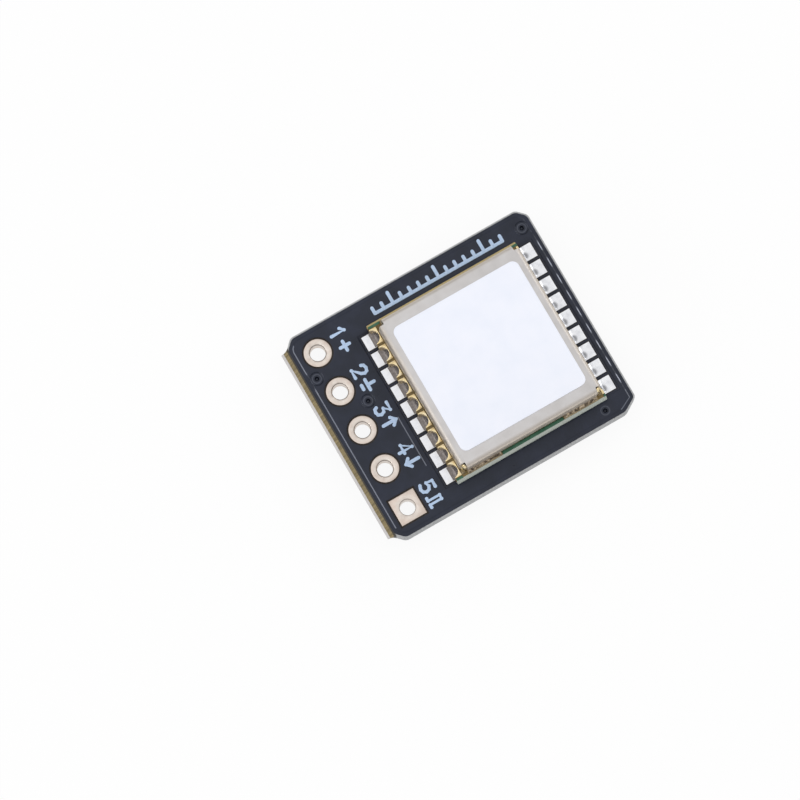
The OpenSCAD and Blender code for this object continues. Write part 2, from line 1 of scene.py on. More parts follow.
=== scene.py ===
# %% [markdown]
# # A satellite-positioning receiver board
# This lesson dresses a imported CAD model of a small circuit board. On the board sits a receiver module
# under a folded metal can, and along one edge runs a row of plated pin holes. The CAD solids give every
# size and place. Blender adds soft edges, solder, ink and finishes, and then light and a camera.

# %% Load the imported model
import json
import math

import bmesh
import bpy
import numpy as np
from mathutils import Matrix, Vector


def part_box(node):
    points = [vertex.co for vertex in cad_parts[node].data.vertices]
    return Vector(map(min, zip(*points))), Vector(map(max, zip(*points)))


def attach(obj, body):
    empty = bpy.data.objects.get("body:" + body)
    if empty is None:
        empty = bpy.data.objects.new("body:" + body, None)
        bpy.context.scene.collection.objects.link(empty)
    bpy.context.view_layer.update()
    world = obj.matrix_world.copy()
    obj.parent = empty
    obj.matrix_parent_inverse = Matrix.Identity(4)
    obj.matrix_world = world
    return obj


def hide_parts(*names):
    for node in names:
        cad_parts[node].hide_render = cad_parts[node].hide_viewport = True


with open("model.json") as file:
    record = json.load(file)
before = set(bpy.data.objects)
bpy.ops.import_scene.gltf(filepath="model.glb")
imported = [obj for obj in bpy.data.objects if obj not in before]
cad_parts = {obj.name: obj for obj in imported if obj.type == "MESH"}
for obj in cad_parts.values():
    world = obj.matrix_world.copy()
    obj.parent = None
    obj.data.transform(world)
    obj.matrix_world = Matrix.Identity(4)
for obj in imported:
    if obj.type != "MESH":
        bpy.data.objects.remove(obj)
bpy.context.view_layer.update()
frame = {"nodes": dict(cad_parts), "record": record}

nodes = frame["nodes"]
MM = 0.001
WELD = 1e-7

# %% [markdown]
# ## Measures from the frame
# Most places below are worked out from the boxes of CAD nodes, so that a changed board moves its dressing
# along; a few, such as the ends of the trace and the camera's aim, are given as numbers. Some nodes hold
# several solids, such as nine lands in a row. These are told apart by walking over joined vertices, after
# points closer than WELD are made one. Lengths are in millimetres while we think, and in metres once they
# reach Blender.

# %% Boxes in millimetres


def span(node):
    """Lowest and highest corner of a CAD node."""
    low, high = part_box(node)
    return np.array(low) / MM, np.array(high) / MM


def merged(node):
    """A copy of a CAD node's loose triangles with their corners joined, ready for editing."""
    work = bmesh.new()
    work.from_mesh(nodes[node].data)
    bmesh.ops.remove_doubles(work, verts=work.verts, dist=WELD)
    return work


def solids(node):
    """Lowest and highest corner of each separate solid in a CAD node, in the order of their Y."""
    work = merged(node)
    left, boxes = set(work.verts), []
    while left:
        walk, seen = [left.pop()], []
        while walk:
            vert = walk.pop()
            seen.append(np.array(vert.co) / MM)
            joined = {edge.other_vert(vert) for edge in vert.link_edges} & left
            left -= joined
            walk += joined
        boxes.append((np.min(seen, axis=0), np.max(seen, axis=0)))
    work.free()
    return sorted(boxes, key=lambda box: box[0][1])


board_low, board_high = span("printed_board")
can_low, can_high = span("shield_can")
module_low, module_high = span("module_board")
near_rows, far_rows = solids("near_lands"), solids("far_lands")
LAND_PITCH_MM = far_rows[1][0][1] - far_rows[0][0][1]
first_y = (far_rows[0][0][1] + far_rows[0][1][1]) / 2
print("board", (board_high - board_low).round(2), "can", (can_high - can_low).round(2))
print(len(far_rows), "lands a side,", round(LAND_PITCH_MM, 2), "mm apart")

# %% [markdown]
# ## Nodes in one line each
# Shader trees and geometry trees are both node trees. One small function adds a node, sets its properties
# and fills or links its sockets, which keeps every tree below short enough to read. It also puts the long
# prefix before a node's type, so that a type is written as its plain name.

# %% The node function and the colour function
PREFIXES = ("ShaderNode", "GeometryNode", "Node")


def add(tree, kind, inputs=(), **settings):
    """Add a node. Inputs are listed in order, named or numbered. A node there means its first output."""
    made = tree.nodes.new(next(prefix + kind for prefix in PREFIXES if hasattr(bpy.types, prefix + kind)))
    for key, value in settings.items():
        setattr(made, key, value)
    for key, value in inputs.items() if isinstance(inputs, dict) else enumerate(inputs):
        if isinstance(value, bpy.types.Node):
            value = value.outputs[0]
        if isinstance(value, bpy.types.NodeSocket):
            tree.links.new(value, made.inputs[key])
        else:
            made.inputs[key].default_value = value
    return made


def linear(hex_colour):
    """An sRGB hex colour as linear RGBA."""
    parts = [int(hex_colour[i:i + 2], 16) / 255 for i in (1, 3, 5)]
    return tuple(p / 12.92 if p <= 0.04045 else ((p + 0.055) / 1.055) ** 2.4 for p in parts) + (1.0,)


print("mid grey", [round(v, 3) for v in linear("#808080")])

# %% [markdown]
# ## A finish from a few numbers
# Most finishes here share one build: a base colour that drifts between two or three tones, a roughness
# that drifts with it, and a fine bump. What differs is the size of the pattern and its direction, and
# those come from the real surface in millimetres. Object coordinates are metres in the part's own frame,
# so a Mapping node turns a grain size into a pattern scale. Noise seldom leaves the middle of its range,
# so only that part is spread over the roughness.

# %% The shared finish builder
METAL = {"Metallic": 1.0}
NOISE_LOW, NOISE_HIGH = 0.3, 0.7


def finish(name, tones, grain_mm, rough, bump_mm=0.0, stretch=(1, 1, 1), spread=0.25, sockets=None):
    """A material whose tones and roughness follow noise of one grain size. Sockets are uniform values."""
    material = bpy.data.materials.new(name)
    material.use_nodes = True
    tree = material.node_tree
    shader = tree.nodes["Principled BSDF"]
    for key, value in (sockets or {}).items():
        shader.inputs[key].default_value = value
    place = add(tree, "TexCoord").outputs["Object"]
    scaled = add(tree, "Mapping", {0: place, "Scale": [s / (grain_mm * MM) for s in stretch]})
    noise = add(tree, "TexNoise", {"Vector": scaled, "Scale": 1.0, "Detail": 3.0})
    ramp = add(tree, "ValToRGB", [noise])
    stops = ramp.color_ramp.elements
    while len(stops) < len(tones):
        stops.new(0.5)
    for i, tone in enumerate(tones):
        stops[i].position = 0.5 + spread * (2 * i / (len(tones) - 1) - 1)
        stops[i].color = linear(tone)
    tree.links.new(ramp.outputs["Color"], shader.inputs["Base Color"])
    sheen = add(tree, "MapRange", [noise, NOISE_LOW, NOISE_HIGH, rough[0], rough[1]])
    tree.links.new(sheen.outputs[0], shader.inputs["Roughness"])
    if bump_mm:
        bump = add(tree, "Bump", {"Distance": bump_mm * MM, "Height": noise})
        tree.links.new(bump.outputs[0], shader.inputs["Normal"])
    return material


def painted_over(material, share, colour):
    """Lay a colour over a finish's base colour, by a share from 0 to 1."""
    tree = material.node_tree
    base = tree.nodes["Principled BSDF"].inputs["Base Color"]
    mix = add(tree, "Mix", {0: share, 6: base.links[0].from_socket, 7: colour}, data_type="RGBA")
    tree.links.new(mix.outputs[2], base)


print("finish builder ready")

# %% [markdown]
# ## Moulded, fired and plated parts
# The small parts are bought-in: fired ceramic capacitors, a ferrite choke, resistors with a black glaze,
# a moulded regulator. Their grain is far finer than a pixel, so it is drawn a little coarser than it is,
# just enough to break a flat colour. Ceramic and epoxy are matt, glaze and cast resin have a gloss.

# %% Materials of the small parts
tan_ceramic = finish("Fired capacitor ceramic", ["#a4886a", "#b4997a", "#bfa688"], 0.12, (0.45, 0.6), 0.002)
dark_ceramic = finish("Fired package ceramic", ["#5d5048", "#6d5f55"], 0.1, (0.5, 0.65), 0.002)
pale_ceramic = finish("Fired alumina", ["#bdb4a3", "#cbc2b2"], 0.1, (0.45, 0.6), 0.002)
blue_ferrite = finish("Coated ferrite", ["#4f6580", "#5c7390", "#6c82a0"], 0.15, (0.35, 0.55), 0.004)
black_glaze = finish("Black resistor glaze", ["#1c1d20", "#2a2c31"], 0.2, (0.2, 0.35), 0.001)
moulded_black = finish("Moulded epoxy", ["#222326", "#2b2c30"], 0.05, (0.5, 0.7), 0.003)
white_insulator = finish("Moulded white insulator", ["#e2e1da", "#efeee8"], 0.15, (0.4, 0.55), 0.001)
lamp_resin = finish("Cast lamp resin", ["#e6d39b", "#f3e3b5"], 0.2, (0.12, 0.25), 0.001,
                    sockets={"IOR": 1.53})
plated_tin = finish("Matte plated tin", ["#c3c0ba", "#d6d3cd", "#dedcd8"], 0.06, (0.35, 0.5), 0.002,
                    sockets=METAL)
socket_gold = finish("Gold flash on brass", ["#cfae68", "#dcc07e", "#e6cf98"], 0.2, (0.25, 0.4), 0.001,
                     sockets=METAL)
copper_foil = finish("Etched copper foil", ["#a96a3d", "#b87345"], 0.15, (0.35, 0.5), 0.001, sockets=METAL)
tarnished_copper = finish("Tarnished via copper", ["#1d1613", "#2c211b"], 0.08, (0.5, 0.7), 0.001)
print(len(bpy.data.materials), "materials so far")

# %% [markdown]
# ## The board's laminate
# The board is woven glass in resin. A milled edge shows it as a chalky grey, because cut fibre ends scatter
# light. The left edge was scored and snapped: its bevel is smooth amber resin, with a dark line of painted
# shade beside it next to the mask, and the torn web beyond is frayed to a paler grey. Inside the openings of
# the mask the resin is painted dark brown, as painted shade for resin that lies low in the openings. All of
# that depends on where a point lies, so comparisons along X and Y find each zone, and streaks drawn out
# across the edge give the bevel the look of cut glass bundles.

# %% Coordinates and zones


def coordinates(material):
    """A finish's node tree, its Object coordinates, and their X, Y and Z."""
    tree = material.node_tree
    place = add(tree, "TexCoord").outputs["Object"]
    return tree, place, add(tree, "SeparateXYZ", [place]).outputs


def zone(tree, coordinate, low_mm, high_mm):
    """1 where a coordinate lies between two values, and 0 elsewhere."""
    above = add(tree, "Math", [coordinate, low_mm * MM], operation="GREATER_THAN")
    below = add(tree, "Math", [coordinate, high_mm * MM], operation="LESS_THAN")
    return add(tree, "Math", [above, below], operation="MULTIPLY")


def patch(tree, where, x_low, x_high, y_low, y_high):
    """1 inside a rectangle seen from above, and 0 elsewhere."""
    within_x, within_y = zone(tree, where["X"], x_low, x_high), zone(tree, where["Y"], y_low, y_high)
    return add(tree, "Math", [within_x, within_y], operation="MULTIPLY")


print("zones ready")

# %% Glass laminate with a snapped edge
LEDGE_MM, BEVEL_MM, SHADE_MM, RIM_MM, BEYOND_MM, WEB_SHARE = 0.35, 0.21, 0.13, 0.5, 1, 0.8
STREAK_MM = (2.5, 1 / 9, 2.5)
AMBER = {0.35: "#6f6345", 0.7: "#998861"}
snap_line = board_low[0] + LEDGE_MM
laminate = finish("Glass laminate with cut edges", ["#989999", "#a9aaab", "#babbbc"], 0.09, (0.6, 0.85),
                  0.006, stretch=(1, 1, 2.5))
tree, place, where = coordinates(laminate)
streak_place = add(tree, "Mapping", {0: place, "Scale": [1 / (size * MM) for size in STREAK_MM]})
streaks = add(tree, "TexNoise", {"Vector": streak_place, "Scale": 1.0, "Detail": 4.0})
amber = add(tree, "ValToRGB", [streaks])
for stop, (position, tone) in zip(amber.color_ramp.elements, AMBER.items()):
    stop.position, stop.color = position, linear(tone)
on_bevel = zone(tree, where["X"], snap_line - BEVEL_MM, snap_line)
painted_over(laminate, on_bevel, amber)
on_web = zone(tree, where["X"], board_low[0] - BEYOND_MM, snap_line - BEVEL_MM)
web_share = add(tree, "Math", [on_web, WEB_SHARE], operation="MULTIPLY")
painted_over(laminate, web_share, linear("#d2cecd"))
# Painted shade: a dark line beside the snapped bevel, next to the mask.
shade_by_bevel = zone(tree, where["X"], snap_line, snap_line + SHADE_MM)
painted_over(laminate, shade_by_bevel, linear("#454038"))
# Painted shade: the resin seen down in the openings of the mask is painted dark brown.
shade_in_opening = patch(tree, where, snap_line + RIM_MM, board_high[0] - RIM_MM,
                   board_low[1] + RIM_MM, board_high[1] - RIM_MM)
painted_over(laminate, shade_in_opening, linear("#2c241e"))
print("snapped edge starts at", round(snap_line, 3), "mm")

# %% [markdown]
# ## The module's laminate
# The module has its own thin board. Between its gold pads the resin is painted dark brown, as painted shade
# for resin lying low between the pads. Its front end was scored and shows a pale green-grey bevel, and its
# back end is more tan. Zones along Y tell them apart.

# %% Module laminate
SCORE_MM = 0.16
# The dark brown base tones are painted shade between the pads.
module_laminate = finish("Thin glass laminate", ["#5a4a26", "#6d5a30", "#80693c"], 0.12, (0.5, 0.7), 0.004)
tree, place, where = coordinates(module_laminate)
front = zone(tree, where["Y"], module_low[1] - BEYOND_MM, module_low[1] + SCORE_MM)
back = zone(tree, where["Y"], module_high[1] - SCORE_MM, module_high[1] + BEYOND_MM)
painted_over(module_laminate, front, linear("#aeb4ac"))
painted_over(module_laminate, back, linear("#b9a571"))
print("module laminate from", module_low[1].round(2), "to", module_high[1].round(2), "mm")

# %% [markdown]
# ## Solder mask
# Solder mask is a thin cured film. The big board's is near-black with a blue cast and a low gloss, the
# module's is green. A few specks of dust lie on the black one. A Voronoi pattern places one possible speck
# in each cell, and the cell's own random colour keeps only some of them. The specks are drawn a little
# larger than dust is, so that they show.

# %% Black and green solder mask
MASK_SHEEN = {"IOR": 1.5, "Specular IOR Level": 0.3}
CELL_MM, SPECK, LUCK = 1.3, 0.02, 0.55
black_mask = finish("Cured black solder mask", ["#1d222e", "#222735", "#282d3d"], 0.9, (0.27, 0.37), 0.001,
                    sockets=MASK_SHEEN)
green_mask = finish("Cured green solder mask", ["#2a5540", "#36624c", "#46705a"], 0.3, (0.3, 0.45), 0.001,
                    sockets=MASK_SHEEN)
tree, place, where = coordinates(black_mask)
cells = add(tree, "TexVoronoi", {"Vector": place, "Scale": 1 / (CELL_MM * MM)})
close = add(tree, "Math", [cells.outputs["Distance"], SPECK], operation="LESS_THAN")
lucky = add(tree, "SeparateColor", [cells.outputs["Color"]])
kept = add(tree, "Math", [lucky.outputs[0], LUCK], operation="GREATER_THAN")
speck = add(tree, "Math", [close, kept], operation="MULTIPLY")
painted_over(black_mask, speck, linear("#9aa0ac"))
print("masks", black_mask.name, "and", green_mask.name)

# %% [markdown]
# ## Painted highlights in the film
# The film lies over copper like paint. Where it runs down from the edge of the copper it slopes, and a pale
# line is painted on that slope as a painted highlight. Only there does it lie between its two levels, so the
# height of a point finds such a step. Along the left edge the painted highlight is even and stops short of a
# via. Along the right edge it is broken into a dash beside each land, and Y wrapped at the pitch of the lands
# finds the nearest one. Round a via only the steps that face left or right show. A faint painted highlight
# lies as a collar round each via, and a trace that passes the near lands gets one more fine painted
# highlight.

# %% Steps of the film, and distances from vias and lands


def from_nearest(tree, coordinate, first_mm, pitch_mm):
    """Distance along one axis from the nearest place in a row that has one pitch."""
    half = pitch_mm / 2 * MM
    from_first = add(tree, "Math", [coordinate, first_mm * MM], operation="SUBTRACT")
    return add(tree, "Math", [from_first, half, -half], operation="WRAP")


STEP_MM, LEVEL_MM = 0.04, 0.003
BY_VIA_MM, VIA_SHARE, FACING_LOW, FACING_HIGH = 0.6, 0.45, 0.5, 0.9
DASH_MM, DASH_SOFT_MM = 0.16, 0.36
film_top = span("top_solder_mask")[1][2]
via_mids = [(low + high) / 2 for low, high in solids("via_barrels")]
on_step = zone(tree, where["Z"], film_top - STEP_MM + LEVEL_MM, film_top - LEVEL_MM)
on_top = zone(tree, where["Z"], film_top - LEVEL_MM, film_top + BEYOND_MM)
flat = add(tree, "CombineXYZ", {"X": where["X"], "Y": where["Y"]})
off_vias = [add(tree, "VectorMath", [flat, mid * MM * (1, 1, 0)], operation="DISTANCE")
            for mid in via_mids]
off_via = off_vias[0].outputs["Value"]
for off in off_vias[1:]:
    off_via = add(tree, "Math", [off_via, off.outputs["Value"]], operation="MINIMUM")
past_via = add(tree, "Math", [off_via, BY_VIA_MM * MM], operation="GREATER_THAN")
normal = add(tree, "SeparateXYZ", [add(tree, "NewGeometry").outputs["Normal"]])
sideways = add(tree, "Math", [normal.outputs["X"]], operation="ABSOLUTE")
facing = add(tree, "MapRange", [sideways, FACING_LOW, FACING_HIGH, 0.0, VIA_SHARE])
painted_highlight = add(tree, "Mix", {0: past_via, 2: facing, 3: 0.0}, data_type="FLOAT")
from_land = from_nearest(tree, where["Y"], first_y, LAND_PITCH_MM)
off_land = add(tree, "Math", [from_land], operation="ABSOLUTE")
dash = add(tree, "MapRange", [off_land, DASH_MM * MM, DASH_SOFT_MM * MM, 1.0, 0.0])
print(len(via_mids), "vias, a dash every", round(LAND_PITCH_MM, 2), "mm")

# %% Painted highlights: lines, collars and trace
EDGE_MM, FRONT_MM, CORNER_X_MM, CORNER_Y_MM, LEFT_SHARE, CORNER_SHARE = 0.5, 0.8, 1.1, 1.2, 0.48, 0.3
COLLAR_R_MM, COLLAR_MM, COLLAR_SHARE = 0.25, 0.05, 0.15
TRACE_OUT_MM, TRACE_MM, TRACE_LOW_MM, TRACE_HIGH_MM, TRACE_SHARE = 0.455, 0.06, -3.58, -0.36, 0.4
corner_y, lands_back = board_low[1] + CORNER_Y_MM, far_rows[-1][1][1]
left = add(tree, "Math", [past_via, LEFT_SHARE], operation="MULTIPLY")
for *sides, share in (
        (board_low[0], snap_line + EDGE_MM, board_low[1] + FRONT_MM, board_high[1], left),
        (board_high[0] - EDGE_MM, board_high[0], corner_y, lands_back, dash),
        (board_high[0] - CORNER_X_MM, board_high[0], board_low[1], corner_y, CORNER_SHARE)):
    inside = patch(tree, where, *sides)
    line = add(tree, "Math", [inside, share], operation="MULTIPLY")
    painted_highlight = add(tree, "Math", [painted_highlight, line], operation="MAXIMUM")
highlight_on_step = add(tree, "Math", [on_step, painted_highlight], operation="MULTIPLY")
from_collar = add(tree, "Math", [off_via, COLLAR_R_MM * MM], operation="SUBTRACT")
off_collar = add(tree, "Math", [from_collar], operation="ABSOLUTE")
collar_highlight = add(tree, "MapRange", [off_collar, 0.0, COLLAR_MM * MM, COLLAR_SHARE, 0.0])
trace_x = near_rows[0][0][0] - TRACE_OUT_MM
on_trace = patch(tree, where, trace_x - TRACE_MM / 2, trace_x + TRACE_MM / 2, TRACE_LOW_MM, TRACE_HIGH_MM)
trace = add(tree, "Math", [on_trace, TRACE_SHARE], operation="MULTIPLY")
drawn = add(tree, "Math", [collar_highlight, trace], operation="MAXIMUM")
raised = add(tree, "Math", [on_top, drawn], operation="MULTIPLY")
share = add(tree, "Math", [highlight_on_step, raised], operation="MAXIMUM")
# Painted highlights: pale lines on the film's slopes, a collar round each via, and a line by the trace.
painted_over(black_mask, share, linear("#a4a9b8"))
print("trace at", round(trace_x, 2), "mm")

# %% [markdown]
# ## Plating, tin and solder
# The pin pads carry immersion gold so thin that it looks pinkish cream, a little browner towards the rim. A
# thin dark ring of painted shade lies at the mouth of each hole, where the plating turns down into the bore.
# The pins stand at one pitch, so Y wrapped at that pitch and X give the distance from the nearest hole. The
# lands were tinned, which gives a whiter silver. The half-holes of the module have thicker gold. Solder that
# has flowed into them is duller and grey, with a skin that crinkles as it freezes; its darker grey is partly
# a painted reflection of the dark parts round it. The beads along the can are brown with flux, and the pale
# tone among them is a painted glint on the lumps.

# %% Gold of the pin pads


def flat_distance(tree, x, y):
    """Distance from an upright axis, by X and Y from it."""
    flat = add(tree, "CombineXYZ", {"X": x, "Y": y})
    return add(tree, "VectorMath", [flat], operation="LENGTH").outputs["Value"]


LIP_R, LIP_SOFT_MM, LIP_DEEP_MM = 0.455, 0.05, 0.12
BROWN_R, BROWN_OUT_R, BROWN_SHARE = 0.6, 0.8, 0.3
pin_mids = [sum(span(f"pin_eyelet_{i}")) / 2 for i in range(1, 6)]
PITCH_MM = pin_mids[0][1] - pin_mids[1][1]
pad_top = span("pin_eyelet_1")[1][2]
pad_gold = finish("Immersion gold over nickel", ["#cfc2b9", "#ddd3ca", "#e8e0d8"], 0.25, (0.3, 0.45), 0.002,
                  sockets=METAL)
tree, place, where = coordinates(pad_gold)
from_row = add(tree, "Math", [where["X"], pin_mids[0][0] * MM], operation="SUBTRACT")
from_pin = from_nearest(tree, where["Y"], pin_mids[0][1], PITCH_MM)
off_axis = flat_distance(tree, from_row, from_pin)
rim = add(tree, "MapRange", [off_axis, LIP_R * MM, (LIP_R + LIP_SOFT_MM) * MM, 1.0, 0.0])
mouth = zone(tree, where["Z"], pad_top - LIP_DEEP_MM, pad_top + BEYOND_MM)
ring = add(tree, "Math", [rim, mouth], operation="MULTIPLY")
# Painted shade: a thin dark ring at the mouth of each hole.
painted_over(pad_gold, ring, linear("#857a73"))
outer = add(tree, "MapRange", [off_axis, BROWN_R * MM, BROWN_OUT_R * MM, 0.0, BROWN_SHARE])
painted_over(pad_gold, outer, linear("#c4aa9a"))
print("pins every", round(PITCH_MM, 2), "mm")

# %% Metals of the lands and joints
module_gold = finish("Castellation gold", ["#d6bd86", "#ead7aa", "#f7ebcd"], 0.18, (0.2, 0.38), 0.003,
                     sockets=METAL)
land_tin = finish("Hot-air levelled tin", ["#dadbe0", "#e7e8ec", "#f2f3f6"], 0.3, (0.25, 0.4), 0.003,
                  sockets=METAL)
domed_tin = finish("Domed tin", ["#dcdde2", "#eaebef", "#f6f7f9"], 0.3, (0.2, 0.35), 0.004, sockets=METAL)
# The darker grey is partly a painted reflection of the dark parts round the joints.
joint_solder = finish("Frozen solder", ["#625d5b", "#78726f", "#8e8886"], 0.14, (0.3, 0.5), 0.006,
                      sockets=METAL)
# Brown with flux; the pale third tone is a painted glint on the lumps.
foot_solder = finish("Fluxed solder bead", ["#3f3429", "#6e604f", "#bfae95"], 0.17, (0.25, 0.45), 0.004,
                     spread=0.15, sockets={"Metallic": 0.6})
stained_gold = finish("Flux-stained gold", ["#6f634f", "#8b7d64", "#ab9d80"], 0.15, (0.3, 0.45), 0.003,
                      sockets=METAL)
print(len(bpy.data.materials), "materials so far")

# %% [markdown]
# ## Painted shade on the far joints
# On the far side, land and joint are one bright coat of solder. Where it was drawn up into the half-hole it
# curves down, and the shade on that curve is painted as a soft grey smear. The lands stand at one pitch as
# well, so a wrapped Y finds the nearest middle, and a distance in X and Y that fades out paints the smear.

# %% Painted shade as grey smears
SMEAR_AT_MM, SMEAR_DOWN_MM, SMEAR_MM, SMEAR_SOFT_MM, SMEAR_SHARE = 0.66, 0.12, 0.14, 0.27, 0.9
smear_mid = far_rows[0][1][0] - SMEAR_AT_MM
tree, place, where = coordinates(domed_tin)
smear_x = add(tree, "Math", [where["X"], smear_mid * MM], operation="SUBTRACT")
smear_y = from_nearest(tree, where["Y"], first_y - SMEAR_DOWN_MM, LAND_PITCH_MM)
off_smear = flat_distance(tree, smear_x, smear_y)
fillet_shade = add(tree, "MapRange", [off_smear, SMEAR_MM * MM, SMEAR_SOFT_MM * MM, SMEAR_SHARE, 0.0])
# Painted shade: a soft grey smear where the solder curves up into the half-hole.
painted_over(domed_tin, fillet_shade, linear("#88898d"))
print("smears at", round(smear_mid, 2), "mm")

# %% [markdown]
# ## The can's sheet, the label and the ink
# The can is folded from satin nickel-silver sheet. Its flat top is a warm light grey. The folds are painted
# warmer, a painted reflection of the gold pads and the board below them. A box distance on Object coordinates
# finds the folds. The label is a matt white film with a cool cast, and the ink is a pale blue that was
# printed through a screen.

# %% Nickel-silver sheet, label film and ink
FOLD_MM = 0.28
can_mid, can_half = (can_low + can_high) / 2, (can_high - can_low) / 2
can_sheet = finish("Satin nickel-silver sheet", ["#c4c1c0", "#ccc9c8", "#d3d1d1"], 0.7, (0.42, 0.55), 0.0015,
                   sockets=METAL)
tree, place, where = coordinates(can_sheet)
fold_reflection = 0.0
for i, axis in enumerate("XY"):
    from_mid = add(tree, "Math", [where[axis], can_mid[i] * MM], operation="SUBTRACT")
    off_mid = add(tree, "Math", [from_mid], operation="ABSOLUTE")
    side = add(tree, "MapRange", [off_mid, (can_half[i] - FOLD_MM) * MM, can_half[i] * MM])
    fold_reflection = add(tree, "Math", [fold_reflection, side], operation="MAXIMUM")
# Painted reflection: a warmer tint on the folds, for the gold pads and board they reflect.
painted_over(can_sheet, fold_reflection, linear("#cdc3b7"))
label_film = finish("Matt white label film", ["#ecf0fb", "#f0f3fd", "#f3f5fe"], 1.6, (0.5, 0.6), 0.0005,
                    sockets={"IOR": 1.46})
ink = finish("Screen-printed ink", ["#a9c3e4", "#b5cbe8", "#c2d4ee"], 0.12, (0.5, 0.65), 0.002)
print("can folds over the last", FOLD_MM, "mm")

# %% [markdown]
# ## Soft edges on CAD solids
# No real edge is perfectly sharp. A softened copy starts from the CAD node's triangles: merge the doubles,
# dissolve the flat ones into large faces, and bevel what is left. The copy then stands for the node, and
# the solid itself stays untouched for the physics.

# %% Settling, baking and softening
FLAT_DEG, SHARP_DEG, SMOOTH_DEG, EDGE_STEPS = 1, 20, 40, 2
slot_of = {part["node"]: part["material_slot"] for part in frame["record"]["subparts"]}


def settle(piece, material, node_names=()):
    """Give a finished piece its material and body, and hide the CAD nodes that it stands for."""
    piece.data.materials.clear()
    piece.data.materials.append(material)
    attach(piece, "root")
    if node_names:
        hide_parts(*node_names)
    return piece


def placed(name, data):
    """A new object in the scene."""
    made = bpy.data.objects.new(name, data)
    bpy.context.scene.collection.objects.link(made)
    return made


def baked(start, name):
    """The evaluated mesh of an object as a plain piece at the origin. The start object is removed."""
    bpy.context.view_layer.update()
    seen = start.evaluated_get(bpy.context.evaluated_depsgraph_get())
    mesh = bpy.data.meshes.new_from_object(seen)
    mesh.name = name
    bpy.data.objects.remove(start)
    mesh.shade_smooth()
    mesh.set_sharp_from_angle(angle=math.radians(SMOOTH_DEG))
    return placed(name, mesh)


def softened(node, name, material, width_mm, reshape=None):
    """A bevelled copy of a CAD node, reshaped first if asked, which then stands for it."""
    work = merged(node)
    bmesh.ops.dissolve_limit(work, angle_limit=math.radians(FLAT_DEG), verts=work.verts, edges=work.edges)
    if reshape:
        reshape(work)
    mesh = bpy.data.meshes.new(name + "_start")
    work.to_mesh(mesh)
    work.free()
    start = placed(name + "_start", mesh)
    bevel = start.modifiers.new("edges", "BEVEL")
    bevel.width = width_mm * MM
    bevel.segments = EDGE_STEPS
    bevel.limit_method = "ANGLE"
    bevel.angle_limit = math.radians(SHARP_DEG)
    return settle(baked(start, name), material, [node])


CAN_EDGE_MM, LABEL_EDGE_MM = 0.03, 0.025
folded_can = softened("shield_can", "folded_can", can_sheet, CAN_EDGE_MM)
blank_label = softened("label", "blank_label", label_film, LABEL_EDGE_MM)
print("can", len(folded_can.data.polygons), "faces, label", len(blank_label.data.polygons), "faces")

# %% [markdown]
# ## Rounded corners, and a film that drapes over copper
# A router bit rounds the corners of a board's outline a little. The mask was put on wet, so it flows over
# the edge of the ground plane in a slope and not in a sharp step, and round the pin pads it fills the gap
# level. In the CAD film these steps are upright. Here the foot of each step is moved outwards along the
# step's own face, less so round the vias, where the gap is narrow. Cuts beside each via keep that change
# short.

# %% Rounded corners
CORNER_MM, CORNER_STEPS, CORNER_LOW_DEG, CORNER_HIGH_DEG = 0.16, 4, 30, 60
WALL_Z = 0.1


def round_corners(work):
    """Round the upright edges where two walls of the outline meet at half a right angle."""
    work.normal_update()
    picked = []
    for edge in work.edges:
        upright = len(edge.link_faces) == 2 and all(abs(face.normal.z) < WALL_Z for face in edge.link_faces)
        if upright and CORNER_LOW_DEG < math.degrees(edge.calc_face_angle()) < CORNER_HIGH_DEG:
            picked.append(edge)
    bmesh.ops.bevel(work, geom=picked, offset=CORNER_MM * MM, segments=CORNER_STEPS, profile=0.5,
                    affect="EDGES")
    print(len(picked), "corners rounded")


print("corner radius about", CORNER_MM, "mm")

# %% Draped film
REACH_MM, VIA_REACH_MM, VIA_ZONE_MM, PIN_ZONE_MM, FILM_EDGE_MM = 0.07, 0.02, 0.45, 1.0, 0.018
SAME_HEIGHT = 1e-6
CUTS = [(axis, side) for axis in (Vector((1, 0, 0)), Vector((0, 1, 0))) for side in (-1, 1)]


def by_via(vert):
    """Whether a vertex lies close round a via."""
    return any(math.hypot(*(np.array(vert.co) / MM - mid)[:2]) < VIA_ZONE_MM for mid in via_mids)


def drape(work):
    """Level the film round the pins, and move the foot of every other step outwards."""
    round_corners(work)
    top = max(vert.co.z for vert in work.verts)
    for vert in work.verts:
        by_pin = any(np.abs(np.array(vert.co) / MM - mid)[:2].max() < PIN_ZONE_MM for mid in pin_mids)
        if by_pin and not by_via(vert) and abs(top - vert.co.z - STEP_MM * MM) < SAME_HEIGHT:
            vert.co.z = top
    bmesh.ops.remove_doubles(work, verts=work.verts, dist=WELD)
    for mid in via_mids:
        for axis, side in CUTS:
            everything = work.verts[:] + work.edges[:] + work.faces[:]
            beside = Vector(mid * MM) + axis * side * BY_VIA_MM * MM
            bmesh.ops.bisect_plane(work, geom=everything, dist=WELD / 10, plane_co=beside, plane_no=axis)
    work.normal_update()
    pushes = {}
    for face in work.faces:
        foot = min(vert.co.z for vert in face.verts)
        if abs(face.normal.z) < WALL_Z and abs(top - foot - STEP_MM * MM) < SAME_HEIGHT:
            for vert in face.verts:
                if vert.co.z < foot + SAME_HEIGHT:
                    pushes[vert] = pushes.get(vert, Vector()) + face.normal
    for vert, push in pushes.items():
        vert.co += push.normalized() * (VIA_REACH_MM if by_via(vert) else REACH_MM) * MM
    print(len(pushes), "points of the film moved outwards")


softened("top_solder_mask", "draped_black_film", black_mask, FILM_EDGE_MM, drape)

